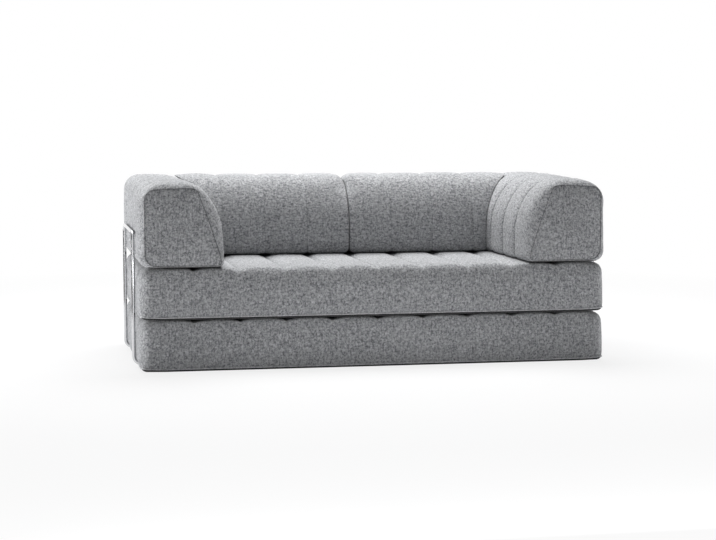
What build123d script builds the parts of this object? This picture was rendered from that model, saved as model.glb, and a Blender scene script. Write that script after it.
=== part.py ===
"""Sofa bed: two stacked quilted mattresses, and arm and back bolsters that hang on bent tube loops.

X runs over the width, Y from the front to the back and Z up. The origin is on the floor under the middle of the
whole object. All sizes are in millimetres.
"""

import math
import os
from dataclasses import dataclass, fields

from build123d import *

os.makedirs("parts", exist_ok=True)

# Mattresses
channel_pitch = 200.0
channel_count = 10
mattress_side_border = 28.0
mattress_depth = 1030.0
mattress_height = 220.0
channel_rise = 9.0
channel_shoulder = 26.0
channel_sag = 2.0
shoulder_shares = (0.34, 0.72)
mattress_top_radius = 40.0
mattress_bottom_radius = 22.0
mattress_corner_radius = 46.0
side_bulge = 4.0
mattress_cover_wall = 14.0
spring_block_height = 120.0
core_corner_radius = 30.0

# Bolsters: width from the outer to the inner side, height from the underside to the top
bolster_width = 367.0
bolster_height = 368.0
bolster_overhang = 3.0
outer_low_radius = 48.0
inner_low_radius = 26.0
outer_top_radius = 100.0
inner_curve_start = 120.0
inner_curve_width = 186.0
shoulder_radius = 150.0
seam_inset = 8.0
bottom_inset_share = 0.35
bolster_cover_wall = 16.0
back_gap = 4.0
bolster_fit = 1.0

# Rounded bolster ends with a set-in panel
end_rounding = 32.0
end_inset = 4.0
end_angles = (0.0, 30.0, 60.0, 90.0)
crown_middle_share = 0.5
crown_shares = ((0.18, 0.2), (crown_middle_share, 0.0), (0.82, 0.2))
panel_outer_inset = 27.0
panel_inner_inset = 16.0
panel_top_inset = 29.0
panel_bottom_inset = 11.0
panel_outer_top_radius = 35.0
panel_inner_low_radius = 15.0
panel_knee_inset = 26.0
panel_knee_height = 67.0
panel_lean_degrees = 17.2
panel_curve_width = 142.0
panel_shoulder_radius = 30.0

# Tube loops
tube_radius = 8.0
tube_wall = 1.5
tube_gap = 5.0
bend_radius = 34.0
rail_rise = 141.0
side_loop_span = 576.0
back_loop_span = 480.0
foot_reach = 300.0
standoff_rise = 57.0
standoff_radius = 7.0

# Small parts of the loops
glide_wall = 2.0
glide_length = 36.0
glide_place = 70.0
glide_lip_height = 4.0
cap_thickness = 3.0
cap_plug_length = 14.0

# Board and bolts inside a bolster
board_thickness = 15.0
board_height = 214.0
board_low_edge = 36.0
board_outer_face = 32.0
board_margin = 34.0
board_corner_radius = 20.0
bolt_radius = 4.0
bolt_grip = 18.0
bolt_head_radius = 7.5
bolt_head_height = 6.0
hex_sides = 6

# Tunnels for the feet under the lower mattress
tunnel_sides = 8

# Zips
zip_width = 10.0
zip_thickness = 2.0
zip_depth = 3.0
zip_panel_inset = 12.0
zip_open_height = 70.0
zip_height = 66.0
zip_end_margin = 130.0
slider_length = 16.0
slider_extra = 0.6

# Clearances
corner_ease = 0.3
chord_count = 3
flat_gap = 0.000001
soft_gap = 0.5
fit_gap = 0.4
bolt_gap = 0.3
overrun = 5.0

# Places that follow from the sizes above
mattress_width = channel_pitch * channel_count + 2 * mattress_side_border
mattress_reach = mattress_width / 2
overall_depth = mattress_depth + tube_gap + 2 * tube_radius
front_y = -overall_depth / 2
rear_y = front_y + mattress_depth
bolster_outer_x = mattress_reach + bolster_overhang
top_flat_end = bolster_width - inner_curve_width
loop_offset = tube_gap + tube_radius - bolster_overhang
upper_bottom = mattress_height + soft_gap
bolster_bottom = upper_bottom + mattress_height + soft_gap
rail_height = bolster_bottom + rail_rise
standoff_height = bolster_bottom + standoff_rise
foot_height = tube_radius + glide_wall
glide_radius = tube_radius + glide_wall
tunnel_radius = glide_radius + soft_gap
bore_radius = tube_radius - tube_wall
back_base_length = bolster_outer_x - bolster_width - bolster_fit - back_gap / 2
back_loop_centre = back_base_length / 2
side_loop_centre = mattress_depth / 2


@dataclass
class Section:
    """Outline of a bolster across its length, with u from its outer side and v up from its underside."""

    left: float
    right: float
    bottom: float
    top: float
    outer_low: float
    inner_low: float
    outer_top: float
    knee_u: float
    knee_v: float
    lean: float
    flat_end: float
    shoulder: float

    def blended(self, other, weight):
        """The outline part of the way from this one to another, where weight is the share of the other."""
        values = [
            (1 - weight) * getattr(self, item.name) + weight * getattr(other, item.name) for item in fields(self)
        ]
        return Section(*values)

    def edges(self, place):
        """The closed outline as lines and tangent arcs, at a place along the bolster."""
        lean = math.radians(self.lean)
        normal = (-math.cos(lean), -math.sin(lean))
        centre = (self.flat_end, self.top - self.shoulder)
        reach = (self.knee_u - centre[0], self.knee_v - centre[1])
        along = reach[0] * normal[0] + reach[1] * normal[1]
        big = (self.shoulder**2 - reach[0] ** 2 - reach[1] ** 2) / (2 * (along + self.shoulder))
        big_centre = (self.knee_u + big * normal[0], self.knee_v + big * normal[1])
        join_angle = math.atan2(centre[1] - big_centre[1], centre[0] - big_centre[0])

        def at(u, v):
            return Vector(u, place, v)

        def on_circle(middle, radius, angle):
            return at(middle[0] + radius * math.cos(angle), middle[1] + radius * math.sin(angle))

        def corner(middle, radius, start_degrees):
            angles = [math.radians(start_degrees + turn) for turn in (0, 45, 90)]
            return ThreePointArc(*[on_circle(middle, radius, angle) for angle in angles])

        knee = at(self.knee_u, self.knee_v)
        join = on_circle(centre, self.shoulder, join_angle)
        low_outer = (self.left + self.outer_low, self.bottom + self.outer_low)
        low_inner = (self.right - self.inner_low, self.bottom + self.inner_low)
        top_outer = (self.left + self.outer_top, self.top - self.outer_top)
        return [
            Line(at(low_outer[0], self.bottom), at(low_inner[0], self.bottom)),
            corner(low_inner, self.inner_low, -90),
            Line(at(self.right, low_inner[1]), knee),
            ThreePointArc(knee, on_circle(big_centre, big, (join_angle + lean) / 2), join),
            ThreePointArc(
                join,
                on_circle(centre, self.shoulder, (join_angle + math.pi / 2) / 2),
                at(self.flat_end, self.top),
            ),
            Line(at(self.flat_end, self.top), at(top_outer[0], self.top)),
            corner(top_outer, self.outer_top, 90),
            Line(at(self.left, top_outer[1]), at(self.left, low_outer[1])),
            corner(low_outer, self.outer_low, 180),
        ]

    def face(self, place):
        """The outline filled in with its arcs cut into chords, at a place along the bolster."""
        return make_face(Polyline(*chorded(self.edges(place)), close=True))


def run_count(edge):
    """How many straight runs stand for an edge: one for a line, a few chords for an arc."""
    return 1 if edge.geom_type == GeomType.LINE else chord_count


def chorded(edges):
    """Points along edges that meet head to tail, with each arc cut into chords; the last edge's end is left out."""
    return [edge @ (step / run_count(edge)) for edge in edges for step in range(run_count(edge))]


def chorded_rectangle(width, depth, radius):
    """A rectangle about the origin whose round corners are cut into chords."""
    points = []
    for turn, (x, y) in enumerate(((1, 1), (-1, 1), (-1, -1), (1, -1))):
        centre = (x * (width / 2 - radius), y * (depth / 2 - radius))
        for step in range(chord_count + 1):
            angle = (turn + step / chord_count) * math.pi / 2
            points.append((centre[0] + radius * math.cos(angle), centre[1] + radius * math.sin(angle)))
    return make_face(Polyline(*points, close=True))


def body_section(inset):
    """The bolster's full outline, drawn in evenly by an inset, or grown by a negative one."""
    return Section(
        left=inset,
        right=bolster_width - inset,
        bottom=inset * bottom_inset_share if inset > 0 else inset,
        top=bolster_height - inset,
        outer_low=outer_low_radius - inset,
        inner_low=inner_low_radius - inset * bottom_inset_share,
        outer_top=outer_top_radius - inset,
        knee_u=bolster_width - inset,
        knee_v=inner_curve_start,
        lean=0,
        flat_end=top_flat_end,
        shoulder=shoulder_radius - inset,
    )


def panel_section():
    """The smaller outline of the panel that closes a bolster's end."""
    return Section(
        left=panel_outer_inset,
        right=bolster_width - panel_inner_inset,
        bottom=panel_bottom_inset,
        top=bolster_height - panel_top_inset,
        outer_low=outer_low_radius,
        inner_low=panel_inner_low_radius,
        outer_top=panel_outer_top_radius,
        knee_u=bolster_width - panel_knee_inset,
        knee_v=panel_knee_height,
        lean=panel_lean_degrees,
        flat_end=bolster_width - panel_curve_width,
        shoulder=panel_shoulder_radius,
    )


def end_sections(end, inward):
    """Sections of a rounded end, from the panel to the body; inward is 1 or -1 along the bolster."""
    sections = []
    for degrees in end_angles:
        angle = math.radians(degrees)
        place = end + inward * end_rounding * (1 - math.cos(angle))
        sections.append((place, panel_section().blended(body_section(end_inset), math.sin(angle))))
    return sections


def flat_patches(corners):
    """One flat face through four corners, or two triangles where they don't lie in a plane."""
    first, second, third, fourth = corners
    normal = (second - first).cross(fourth - first)
    if abs(normal.normalized().dot(third - first)) < flat_gap:
        return [Face(Wire.make_polygon(corners))]
    return [Face(Wire.make_polygon([first, second, third])), Face(Wire.make_polygon([first, third, fourth]))]


def skinned(sections):
    """A solid of flat faces through sections, each given with its place along the bolster."""
    outlines = [chorded(section.edges(place)) for place, section in sections]
    faces = [Face(Wire.make_polygon(outlines[0])), Face(Wire.make_polygon(outlines[-1]))]
    for outline, following in zip(outlines, outlines[1:]):
        for index in range(len(outline)):
            after = (index + 1) % len(outline)
            faces += flat_patches([outline[index], outline[after], following[after], following[index]])
    return Solid(Shell(faces))


def bolster_body(stations):
    """A channelled bolster: rounded ends at the first and last station, and a seam at each one between."""
    first, last = stations[0], stations[-1]
    sections = end_sections(first, 1)
    seams = [(first + end_rounding, end_inset)]
    seams += [(station, seam_inset) for station in stations[1:-1]]
    seams += [(last - end_rounding, end_inset)]
    for (start, start_inset), (stop, stop_inset) in zip(seams, seams[1:]):
        for share, inset_share in crown_shares:
            inset = start_inset if share < crown_middle_share else stop_inset
            sections.append((start + (stop - start) * share, body_section(inset * inset_share)))
        if stop_inset != end_inset:
            sections.append((stop, body_section(stop_inset)))
    sections += reversed(end_sections(last, -1))
    return raised(skinned(sections))


def raised(shape):
    """Lifts a bolster's piece from its own underside to its place above the mattresses."""
    return Pos(0, 0, bolster_bottom) * shape


def bolster_inside(stations, wall):
    """The space inside a bolster's cover, a wall within its seams."""
    start = stations[0] + seam_inset + wall
    stop = stations[-1] - seam_inset - wall
    return raised(extrude(body_section(seam_inset + wall).face(start), amount=stop - start, dir=(0, 1, 0)))


def arm_envelope(growth):
    """The left arm's full outline, grown all round and longer than the arm, in the whole object's frame."""
    start = front_y - overrun
    face = body_section(-growth).face(start)
    solid = extrude(face, amount=mattress_depth + 2 * overrun, dir=(0, 1, 0))
    return Pos(-bolster_outer_x, 0, bolster_bottom) * solid


def rod(radius, start, stop, place, height):
    """A round rod along u, from start to stop, at a place along the bolster and a height over the floor."""
    circle = Plane(origin=(start, place, height), x_dir=(0, 1, 0), z_dir=(1, 0, 0)) * Circle(radius)
    return extrude(circle, amount=stop - start, dir=(1, 0, 0))


def slab(low, high):
    """A plain box from its lowest corner to its highest."""
    size = [b - a for a, b in zip(low, high)]
    return Pos(*low) * Box(*size, align=(Align.MIN, Align.MIN, Align.MIN))


def side_points(reach):
    """Points (out, up) of a mattress's side: rounded lower corner, side swelling to its reach, rounded upper corner."""
    side = reach - side_bulge
    top = mattress_height - channel_sag
    low_centre = (side - mattress_bottom_radius, mattress_bottom_radius)
    high_centre = (side - mattress_top_radius, top - mattress_top_radius)
    points = []
    for step in range(chord_count + 1):
        angle = (step / chord_count - 1) * math.pi / 2
        points.append((
            low_centre[0] + mattress_bottom_radius * math.cos(angle),
            low_centre[1] + mattress_bottom_radius * math.sin(angle),
        ))
    points.append((reach, (low_centre[1] + high_centre[1]) / 2))
    for step in range(chord_count + 1):
        angle = step / chord_count * math.pi / 2
        points.append((
            high_centre[0] + mattress_top_radius * math.cos(angle),
            high_centre[1] + mattress_top_radius * math.sin(angle),
        ))
    return points


def channel_points():
    """Points (out, up) of a mattress's top from its middle seam to its side, over half of its channels."""
    crown = mattress_height - channel_sag
    valley = mattress_height - channel_rise
    knee = (channel_shoulder * shoulder_shares[0], valley + (crown - valley) * shoulder_shares[1])
    points = []
    for channel in range(channel_count // 2):
        start = channel * channel_pitch
        stop = start + channel_pitch
        inner = start + channel_shoulder
        last = channel == channel_count // 2 - 1
        outer = mattress_reach - side_bulge - mattress_top_radius if last else stop - channel_shoulder
        points += [(start, valley), (start + knee[0], knee[1]), (inner, crown), ((inner + outer) / 2, mattress_height)]
        if not last:
            points += [(outer, crown), (stop - knee[0], knee[1])]
    return points


def mirrored_outline(half, plane):
    """A closed face from half an outline's (out, up) points and the same points on the other side."""
    other = [(-out, up) for out, up in reversed(half) if out > 0]
    return plane * make_face(Polyline(*half, *other, close=True))


def mattress_body():
    """A mattress standing on the floor: channels from front to back, rounded all round."""
    half_depth = mattress_depth / 2
    across = Plane(origin=(0, -half_depth - overrun, 0), x_dir=(1, 0, 0), z_dir=(0, -1, 0))
    section = mirrored_outline(side_points(mattress_reach) + channel_points()[::-1], across)
    over_depth = extrude(section, amount=mattress_depth + 2 * overrun, dir=(0, 1, 0))
    along = Plane(origin=(0, 0, 0), x_dir=(0, 1, 0), z_dir=(1, 0, 0))
    profile = mirrored_outline(side_points(half_depth) + [(0, mattress_height + channel_sag)], along)
    over_width = extrude(profile, amount=mattress_reach + overrun, dir=(1, 0, 0), both=True)
    rounded = chorded_rectangle(
        mattress_width + 2 * corner_ease, mattress_depth + 2 * corner_ease, mattress_corner_radius
    )
    plan = Pos(0, 0, -overrun) * extrude(rounded, amount=mattress_height + 2 * overrun)
    return Pos(0, front_y + half_depth, 0) * (over_depth & over_width & plan)


def rounded_block(low, high, radius):
    """A box with rounded upright corners, from its lowest corner to its highest."""
    size = [b - a for a, b in zip(low, high)]
    centre = [(a + b) / 2 for a, b in zip(low, high)]
    face = Pos(centre[0], centre[1], low[2]) * chorded_rectangle(size[0], size[1], radius)
    return extrude(face, amount=size[2])


def mattress_inside(clearance):
    """The space inside a mattress cover, drawn in by a clearance."""
    wall = mattress_cover_wall + side_bulge + clearance
    top = mattress_height - channel_rise - mattress_cover_wall - clearance
    low = (-mattress_reach + wall, front_y + wall, mattress_cover_wall + clearance)
    high = (mattress_reach - wall, rear_y - wall, top)
    return rounded_block(low, high, core_corner_radius)


def mattress_core(cutters):
    """A mattress's core in two layers: the block of pocket springs below and the comfort foam on it."""
    core = mattress_inside(fit_gap)
    for cutter in cutters:
        core = core - cutter
    split = mattress_cover_wall + fit_gap + spring_block_height
    box = core.bounding_box()
    below = slab((box.min.X, box.min.Y, 0), (box.max.X, box.max.Y, split))
    above = slab((box.min.X, box.min.Y, split + fit_gap), (box.max.X, box.max.Y, mattress_height))
    return core & below, core & above


def mattress_zip(extra):
    """The zip low in a mattress's rear face, with its slider, grown by extra for its recess."""
    outer = rear_y - slider_extra
    reach = mattress_reach - zip_end_margin
    tape = slab(
        (-reach - extra, outer - zip_thickness - extra, zip_height - extra),
        (reach + extra, outer + extra * overrun, zip_height + zip_width + extra),
    )
    slider = slab(
        (reach - slider_length - extra, outer - zip_depth - extra, zip_height - extra),
        (reach + extra, outer + extra * overrun, zip_height + zip_width + extra),
    )
    return tape + slider


def slot(place, radius, height, start, stop):
    """A slot along u, open to the floor, whose top is half a many-sided ring about a height."""
    plane = Plane(origin=(start, place, 0), x_dir=(0, 1, 0), z_dir=(1, 0, 0))
    low = -overrun
    ring = RegularPolygon(radius, tunnel_sides, major_radius=False, rotation=math.degrees(math.pi / tunnel_sides))
    profile = Pos(0, height) * ring + Pos(0, (height + low) / 2) * Rectangle(2 * radius, height - low)
    return extrude(plane * profile, amount=stop - start, dir=(1, 0, 0))


def foot_tunnel(place, radius):
    """The space that a foot takes under the lower mattress, higher at its mouth, where the tube bends up."""
    drop = bend_radius - bolster_overhang - loop_offset
    mouth_height = foot_height + bend_radius - math.sqrt(bend_radius**2 - drop**2)
    start = -loop_offset - radius
    mouth = slot(place, radius, mouth_height, start, bend_radius - loop_offset)
    return mouth + slot(place, radius, foot_height, start, foot_reach - loop_offset + overrun)


def tube_path(uprights):
    """Centre line of a loop: foot, upright, rail, upright and foot, with a bend at each corner."""
    first, last = uprights
    tip = foot_reach - loop_offset
    return FilletPolyline(
        (tip, first, foot_height),
        (-loop_offset, first, foot_height),
        (-loop_offset, first, rail_height),
        (-loop_offset, last, rail_height),
        (-loop_offset, last, foot_height),
        (tip, last, foot_height),
        radius=bend_radius,
    )


def bent_rod(radius, path):
    """A round rod along lines and arcs that meet head to tail, each bend in a few short runs."""
    pieces = []
    for edge in path.edges():
        heading = edge % 0
        if edge.geom_type == GeomType.LINE:
            side = Vector(heading.Y, heading.Z, heading.X)
            ring = Plane(origin=edge @ 0, x_dir=side, z_dir=heading) * Circle(radius)
            pieces.append(extrude(ring, amount=edge.length, dir=heading))
        else:
            side = heading.cross(edge % 1)
            shares = [step / chord_count for step in range(chord_count + 1)]
            rings = [Plane(origin=edge @ share, x_dir=side, z_dir=edge % share) * Circle(radius) for share in shares]
            pieces.append(loft(rings, ruled=True))
    return pieces[0].fuse(*pieces[1:])


def loop(uprights):
    """The bent tube with its two welded stand-offs, which are bored for the board's bolts."""
    tip = foot_reach - loop_offset
    body = bent_rod(tube_radius, tube_path(uprights))
    for place in uprights:
        body = body + rod(standoff_radius, -loop_offset, board_outer_face - bolt_gap, place, standoff_height)
    for place in uprights:
        hole_start = board_outer_face - bolt_grip - overrun
        body = body - rod(bore_radius, bend_radius - loop_offset, tip + overrun, place, foot_height)
        body = body - rod(bolt_radius + bolt_gap, hole_start, board_outer_face, place, standoff_height)
    return body


def end_caps(uprights):
    """Plastic plugs in the open ends of a loop's feet, each a round head on a square shank."""
    tip = foot_reach - loop_offset
    side = math.sqrt(2) * (bore_radius - bolt_gap)
    caps = []
    for place in uprights:
        head = rod(tube_radius, tip, tip + cap_thickness, place, foot_height)
        plug = slab(
            (tip - cap_plug_length, place - side / 2, foot_height - side / 2),
            (tip, place + side / 2, foot_height + side / 2),
        )
        caps.append(head + plug)
    return caps[0] + caps[1:]


def glides(uprights):
    """Plastic clips under the feet, flat below and open above, on which a loop stands."""
    stop = glide_place + glide_length
    clips = []
    for place in uprights:
        block = slab(
            (glide_place, place - glide_radius, foot_height - glide_radius),
            (stop, place + glide_radius, foot_height + glide_lip_height),
        )
        clips.append(block - rod(tube_radius + bolt_gap / 2, glide_place, stop, place, foot_height))
    return clips[0] + clips[1:]


def board_extent(uprights, extra):
    """Lowest and highest corner of a board, grown by extra for its slot in the foam."""
    low = (
        board_outer_face - extra,
        uprights[0] - board_margin - extra,
        bolster_bottom + board_low_edge - extra,
    )
    high = (
        board_outer_face + board_thickness + extra,
        uprights[1] + board_margin + extra,
        bolster_bottom + board_low_edge + board_height + extra,
    )
    return low, high


def board(uprights):
    """The plywood board that the stand-offs are bolted to, with rounded corners and two holes."""
    low, high = board_extent(uprights, 0)
    width, height = high[1] - low[1], high[2] - low[2]
    middle = ((low[1] + high[1]) / 2, (low[2] + high[2]) / 2)
    plane = Plane(origin=(low[0], middle[0], middle[1]), x_dir=(0, 1, 0), z_dir=(1, 0, 0))
    outline = plane * chorded_rectangle(width, height, board_corner_radius)
    body = extrude(outline, amount=board_thickness, dir=(1, 0, 0))
    for place in uprights:
        body = body - rod(bolt_radius + bolt_gap, low[0] - overrun, high[0] + overrun, place, standoff_height)
    return body


def bolt(place):
    """A hexagon bolt through the board into a stand-off."""
    inner_face = board_outer_face + board_thickness
    shank = rod(bolt_radius, board_outer_face - bolt_grip, inner_face, place, standoff_height)
    seat = Plane(origin=(inner_face, place, standoff_height), x_dir=(0, 1, 0), z_dir=(1, 0, 0))
    head = extrude(seat * RegularPolygon(bolt_head_radius, hex_sides), amount=bolt_head_height, dir=(1, 0, 0))
    return shank + head


def bolt_pocket(place):
    """Square room in the foam for a bolt's head, and for the stand-off on the board's other side."""
    inner_face = board_outer_face + board_thickness
    pockets = []
    for radius, start, stop in (
        (bolt_head_radius, inner_face, inner_face + bolt_head_height + soft_gap),
        (standoff_radius, 0, board_outer_face),
    ):
        reach = radius + soft_gap
        pockets.append(
            slab((start, place - reach, standoff_height - reach), (stop, place + reach, standoff_height + reach))
        )
    return pockets[0] + pockets[1]


def panel_zip(end, inward, extra):
    """The zip round three sides of a bolster's end panel, grown by extra for its recess."""
    outer = panel_section().face(end)
    band = offset(outer, amount=-zip_panel_inset + extra) - offset(outer, amount=-zip_panel_inset - zip_width - extra)
    strip = extrude(band, amount=zip_thickness + extra, dir=(0, inward, 0))
    top = bolster_height - panel_top_inset - zip_open_height + extra
    room = slab((0, end - zip_depth - overrun, 0), (bolster_width, end + zip_depth + overrun, top))
    return raised(strip & room)


def bolster_unit(stations, loop_centre, loop_span, zip_end, trimming):
    """All pieces of one bolster with its loop, by name, in the bolster's own frame.

    trimming gives the solid to cut from the cover and the foam for a wall between them, or None.
    """
    uprights = (loop_centre - loop_span / 2, loop_centre + loop_span / 2)
    end, inward = (stations[0], 1) if zip_end == 0 else (stations[-1], -1)
    inside = bolster_inside(stations, bolster_cover_wall)
    foam = bolster_inside(stations, bolster_cover_wall + fit_gap)
    cover = bolster_body(stations)
    if trimming:
        inside = inside - trimming(bolster_cover_wall)
        foam = foam - trimming(bolster_cover_wall + fit_gap)
        cover = cover - trimming(0)
    cover = cover - inside - panel_zip(end, inward, bolt_gap)
    for place in uprights:
        cover = cover - rod(standoff_radius + soft_gap, -overrun, board_outer_face, place, standoff_height)
        foam = foam - bolt_pocket(place)
    foam = foam - slab(*board_extent(uprights, fit_gap))
    return {
        "loop": loop(uprights),
        "cover": cover,
        "foam": foam,
        "board": board(uprights),
        "bolts": bolt(uprights[0]) + bolt(uprights[1]),
        "end_caps": end_caps(uprights),
        "glides": glides(uprights),
        "zip": panel_zip(end, inward, 0),
    }


def arm_stations():
    """Ends and seams of an arm bolster, the seams a channel apart and centred on its length."""
    seam_count = math.floor(mattress_depth / channel_pitch) - 1
    first_seam = (mattress_depth - channel_pitch * (seam_count - 1)) / 2
    return [0] + [first_seam + channel_pitch * index for index in range(seam_count)] + [mattress_depth]


def back_stations():
    """Ends and seams of a back bolster, in line with the mattress's seams, up to the arm's flat top."""
    channels = math.floor((bolster_outer_x - top_flat_end) / channel_pitch)
    return [0] + [channel_pitch * index - back_gap / 2 for index in range(1, channels + 1)]


def arm_unit():
    """The left arm's pieces in the whole object's frame."""
    place = Pos(-bolster_outer_x, front_y, 0)
    pieces = bolster_unit(arm_stations(), side_loop_centre, side_loop_span, 1, None)
    return {name: place * piece for name, piece in pieces.items()}


def back_unit():
    """The right back bolster's pieces in the whole object's frame, its outer end cut to the arm's curve."""
    place = Pos(back_gap / 2, rear_y + bolster_overhang, 0) * Rot(0, 0, -90)

    def trimming(wall):
        return place.inverse() * mirror(arm_envelope(bolster_fit + wall), about=Plane.YZ)

    pieces = bolster_unit(back_stations(), back_loop_centre, back_loop_span, 0, trimming)
    return {name: place * piece for name, piece in pieces.items()}


def tunnels(radius):
    """The space that all the feet take under the lower mattress."""
    arm_place = Pos(-bolster_outer_x, front_y, 0)
    back_place = Pos(back_gap / 2, rear_y + bolster_overhang, 0) * Rot(0, 0, -90)
    shapes = []
    for place, centre, span in (
        (arm_place, side_loop_centre, side_loop_span),
        (back_place, back_loop_centre, back_loop_span),
    ):
        for side in (-1, 1):
            tunnel = place * foot_tunnel(centre + side * span / 2, radius)
            shapes += [tunnel, mirror(tunnel, about=Plane.YZ)]
    return shapes


def mattresses():
    """Both mattresses' pieces by name: the lower one has room for the feet, the upper one lies on it."""
    body = mattress_body()
    inside = mattress_inside(0)
    pieces = {}
    lower = body - mattress_zip(bolt_gap)
    hollow = inside
    for tunnel in tunnels(tunnel_radius + mattress_cover_wall / 2):
        hollow = hollow - tunnel
    lower = lower - hollow
    for tunnel in tunnels(tunnel_radius):
        lower = lower - tunnel
    springs, foam = mattress_core(tunnels(tunnel_radius + mattress_cover_wall / 2 + fit_gap))
    pieces["lower_mattress_cover"] = lower
    pieces["lower_mattress_springs"] = springs
    pieces["lower_mattress_foam"] = foam
    pieces["lower_mattress_zip"] = mattress_zip(0)
    springs, foam = mattress_core([])
    upper = {
        "cover": body - mattress_zip(bolt_gap) - inside,
        "springs": springs,
        "foam": foam,
        "zip": mattress_zip(0),
    }
    for name, piece in upper.items():
        pieces[f"upper_mattress_{name}"] = Pos(0, 0, upper_bottom) * piece
    return pieces


def whole():
    """Every piece of the sofa bed by its node name."""
    pieces = mattresses()
    for name, piece in arm_unit().items():
        pieces[f"left_arm_{name}"] = piece
        pieces[f"right_arm_{name}"] = mirror(piece, about=Plane.YZ)
    for name, piece in back_unit().items():
        pieces[f"right_back_{name}"] = piece
        pieces[f"left_back_{name}"] = mirror(piece, about=Plane.YZ)
    return pieces


for node, shape in whole().items():
    export_step(shape, f"parts/{node}.step")
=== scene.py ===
"""Looks of the sofa bed: quilted fabric cushions, bent chrome loops, zips and welts, in a pale studio.

All sizes are in metres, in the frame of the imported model: X over the width, -Y the front, +Z up.
"""

import logging
import math
from collections.abc import Callable
from dataclasses import dataclass, field, replace
from enum import Enum

import bmesh
import bpy
import numpy as np
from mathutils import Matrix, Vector, noise
from mathutils.bvhtree import BVHTree


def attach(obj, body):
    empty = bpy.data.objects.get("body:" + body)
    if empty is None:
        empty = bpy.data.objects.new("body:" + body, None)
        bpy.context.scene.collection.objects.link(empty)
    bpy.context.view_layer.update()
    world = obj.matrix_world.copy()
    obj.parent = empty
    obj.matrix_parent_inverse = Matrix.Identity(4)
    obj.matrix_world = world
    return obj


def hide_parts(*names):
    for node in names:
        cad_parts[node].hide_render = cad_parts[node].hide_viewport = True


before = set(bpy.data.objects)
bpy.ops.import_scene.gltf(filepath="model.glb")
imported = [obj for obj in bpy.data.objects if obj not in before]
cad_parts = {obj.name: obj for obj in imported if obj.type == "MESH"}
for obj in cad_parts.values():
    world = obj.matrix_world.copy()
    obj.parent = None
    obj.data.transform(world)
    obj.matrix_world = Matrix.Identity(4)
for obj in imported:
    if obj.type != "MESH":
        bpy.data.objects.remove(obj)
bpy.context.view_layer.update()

log = logging.getLogger("sofa_bed")

Colour = tuple[float, float, float, float]
Triple = tuple[float, float, float]
Axes = tuple[np.ndarray, np.ndarray, np.ndarray]
Cloth = tuple[tuple[float, float], ...]

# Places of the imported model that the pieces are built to
MATTRESS_REACH = 1.028
FRONT_Y = -0.5255
REAR_Y = 0.5045
BACK_FACE_Y = 0.5075
OUTER_X = 1.031
SEAT_Z = 0.441
UPPER_Z = 0.2205
SIDE_FEET = (-0.2985, 0.2775)
BACK_FEET = (0.0925, 0.5725)

# Sewn channels: their pitch, where points stand beside a seam, and how the cloth is drawn in towards it
CHANNEL_PITCH = 0.2
SEAM_STEPS = (0.0, 0.003, 0.008, 0.016, 0.028, 0.044, 0.062, 0.082, 0.1)
BOW_POWER = 4.2
GROOVE_WIDTH = 0.004
HELD_WIDTH = 0.012

# Values of the seam attribute that the fabric reads: plain cloth, and near-black underside cloth, a painted
# shade for the gaps under the cushions
FAR_FROM_SEAM = 0.05
UNDERSIDE_SHADE = -0.02

# Cloth coordinates of parts too small to show their weave
SMALL_PATCH = ((0.0, 0.0), (0.001, 0.0), (0.001, 0.001), (0.0, 0.001))
UNIT_PATCH = ((0.0, 0.0), (1.0, 0.0), (1.0, 1.0), (0.0, 1.0))


class Side(Enum):
    """Which half of the sofa bed a piece belongs to, with the sign of its X."""

    LEFT = -1
    RIGHT = 1


class Level(Enum):
    """Which of the two stacked mattresses, with the height of its underside."""

    LOWER = 0.0
    UPPER = UPPER_Z


def smooth_step(low: float, high: float, value: np.ndarray) -> np.ndarray:
    """Eases from 0 to 1.

    Args:
        low: Where it leaves 0.
        high: Where it reaches 1.
        value: The values to ease.

    Returns:
        The eased shares, as many as the values.
    """
    share = np.clip((value - low) / (high - low), 0.0, 1.0)
    return share * share * (3 - 2 * share)


def merged(wanted: list[float], extra: list[float], gap: float) -> np.ndarray:
    """Joins two lists of stations, leaving out the extra ones that lie too near a wanted one.

    Args:
        wanted: Stations that all stay.
        extra: Stations that stay where there is room.
        gap: The least distance between two stations.

    Returns:
        The stations in rising order.
    """
    kept = sorted(set(round(value, 6) for value in wanted))
    for value in sorted(extra):
        if min(abs(value - other) for other in kept) >= gap:
            kept.append(value)
    return np.array(sorted(kept))


def unit(rows: np.ndarray) -> np.ndarray:
    """Each row scaled to a length of 1."""
    return rows / np.linalg.norm(rows, axis=1)[:, None]


def lengths_along(path: np.ndarray) -> np.ndarray:
    """How far along a path each of its points lies."""
    return np.concatenate([[0.0], np.cumsum(np.linalg.norm(np.diff(path, axis=0), axis=1))])


def quilting(away: np.ndarray | float, bow_depth: float, groove_depth: float) -> np.ndarray | float:
    """How far sewn channels draw the cloth in.

    Args:
        away: The distance to the nearest seam.
        bow_depth: How far the seam lies under the middle of a channel.
        groove_depth: How much deeper the thread pulls.

    Returns:
        The depth under the plain cloth.
    """
    bow = np.clip(1 - away / (CHANNEL_PITCH / 2), 0.0, 1.0) ** BOW_POWER
    return bow_depth * bow + groove_depth * np.exp(-((away / GROOVE_WIDTH) ** 2))


def noise_at(points: np.ndarray, wavelength: Triple, seed: float) -> np.ndarray:
    """Smooth noise from about -1 to 1 at each point.

    Args:
        points: Places in metres.
        wavelength: Size of the noise's bumps along X, Y and Z.
        seed: Shifts the pattern, so that no two cushions crease alike.

    Returns:
        One number per point.
    """
    shifted = points / np.array(wavelength) + seed
    return np.array([noise.noise(Vector(place)) for place in shifted])


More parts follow.
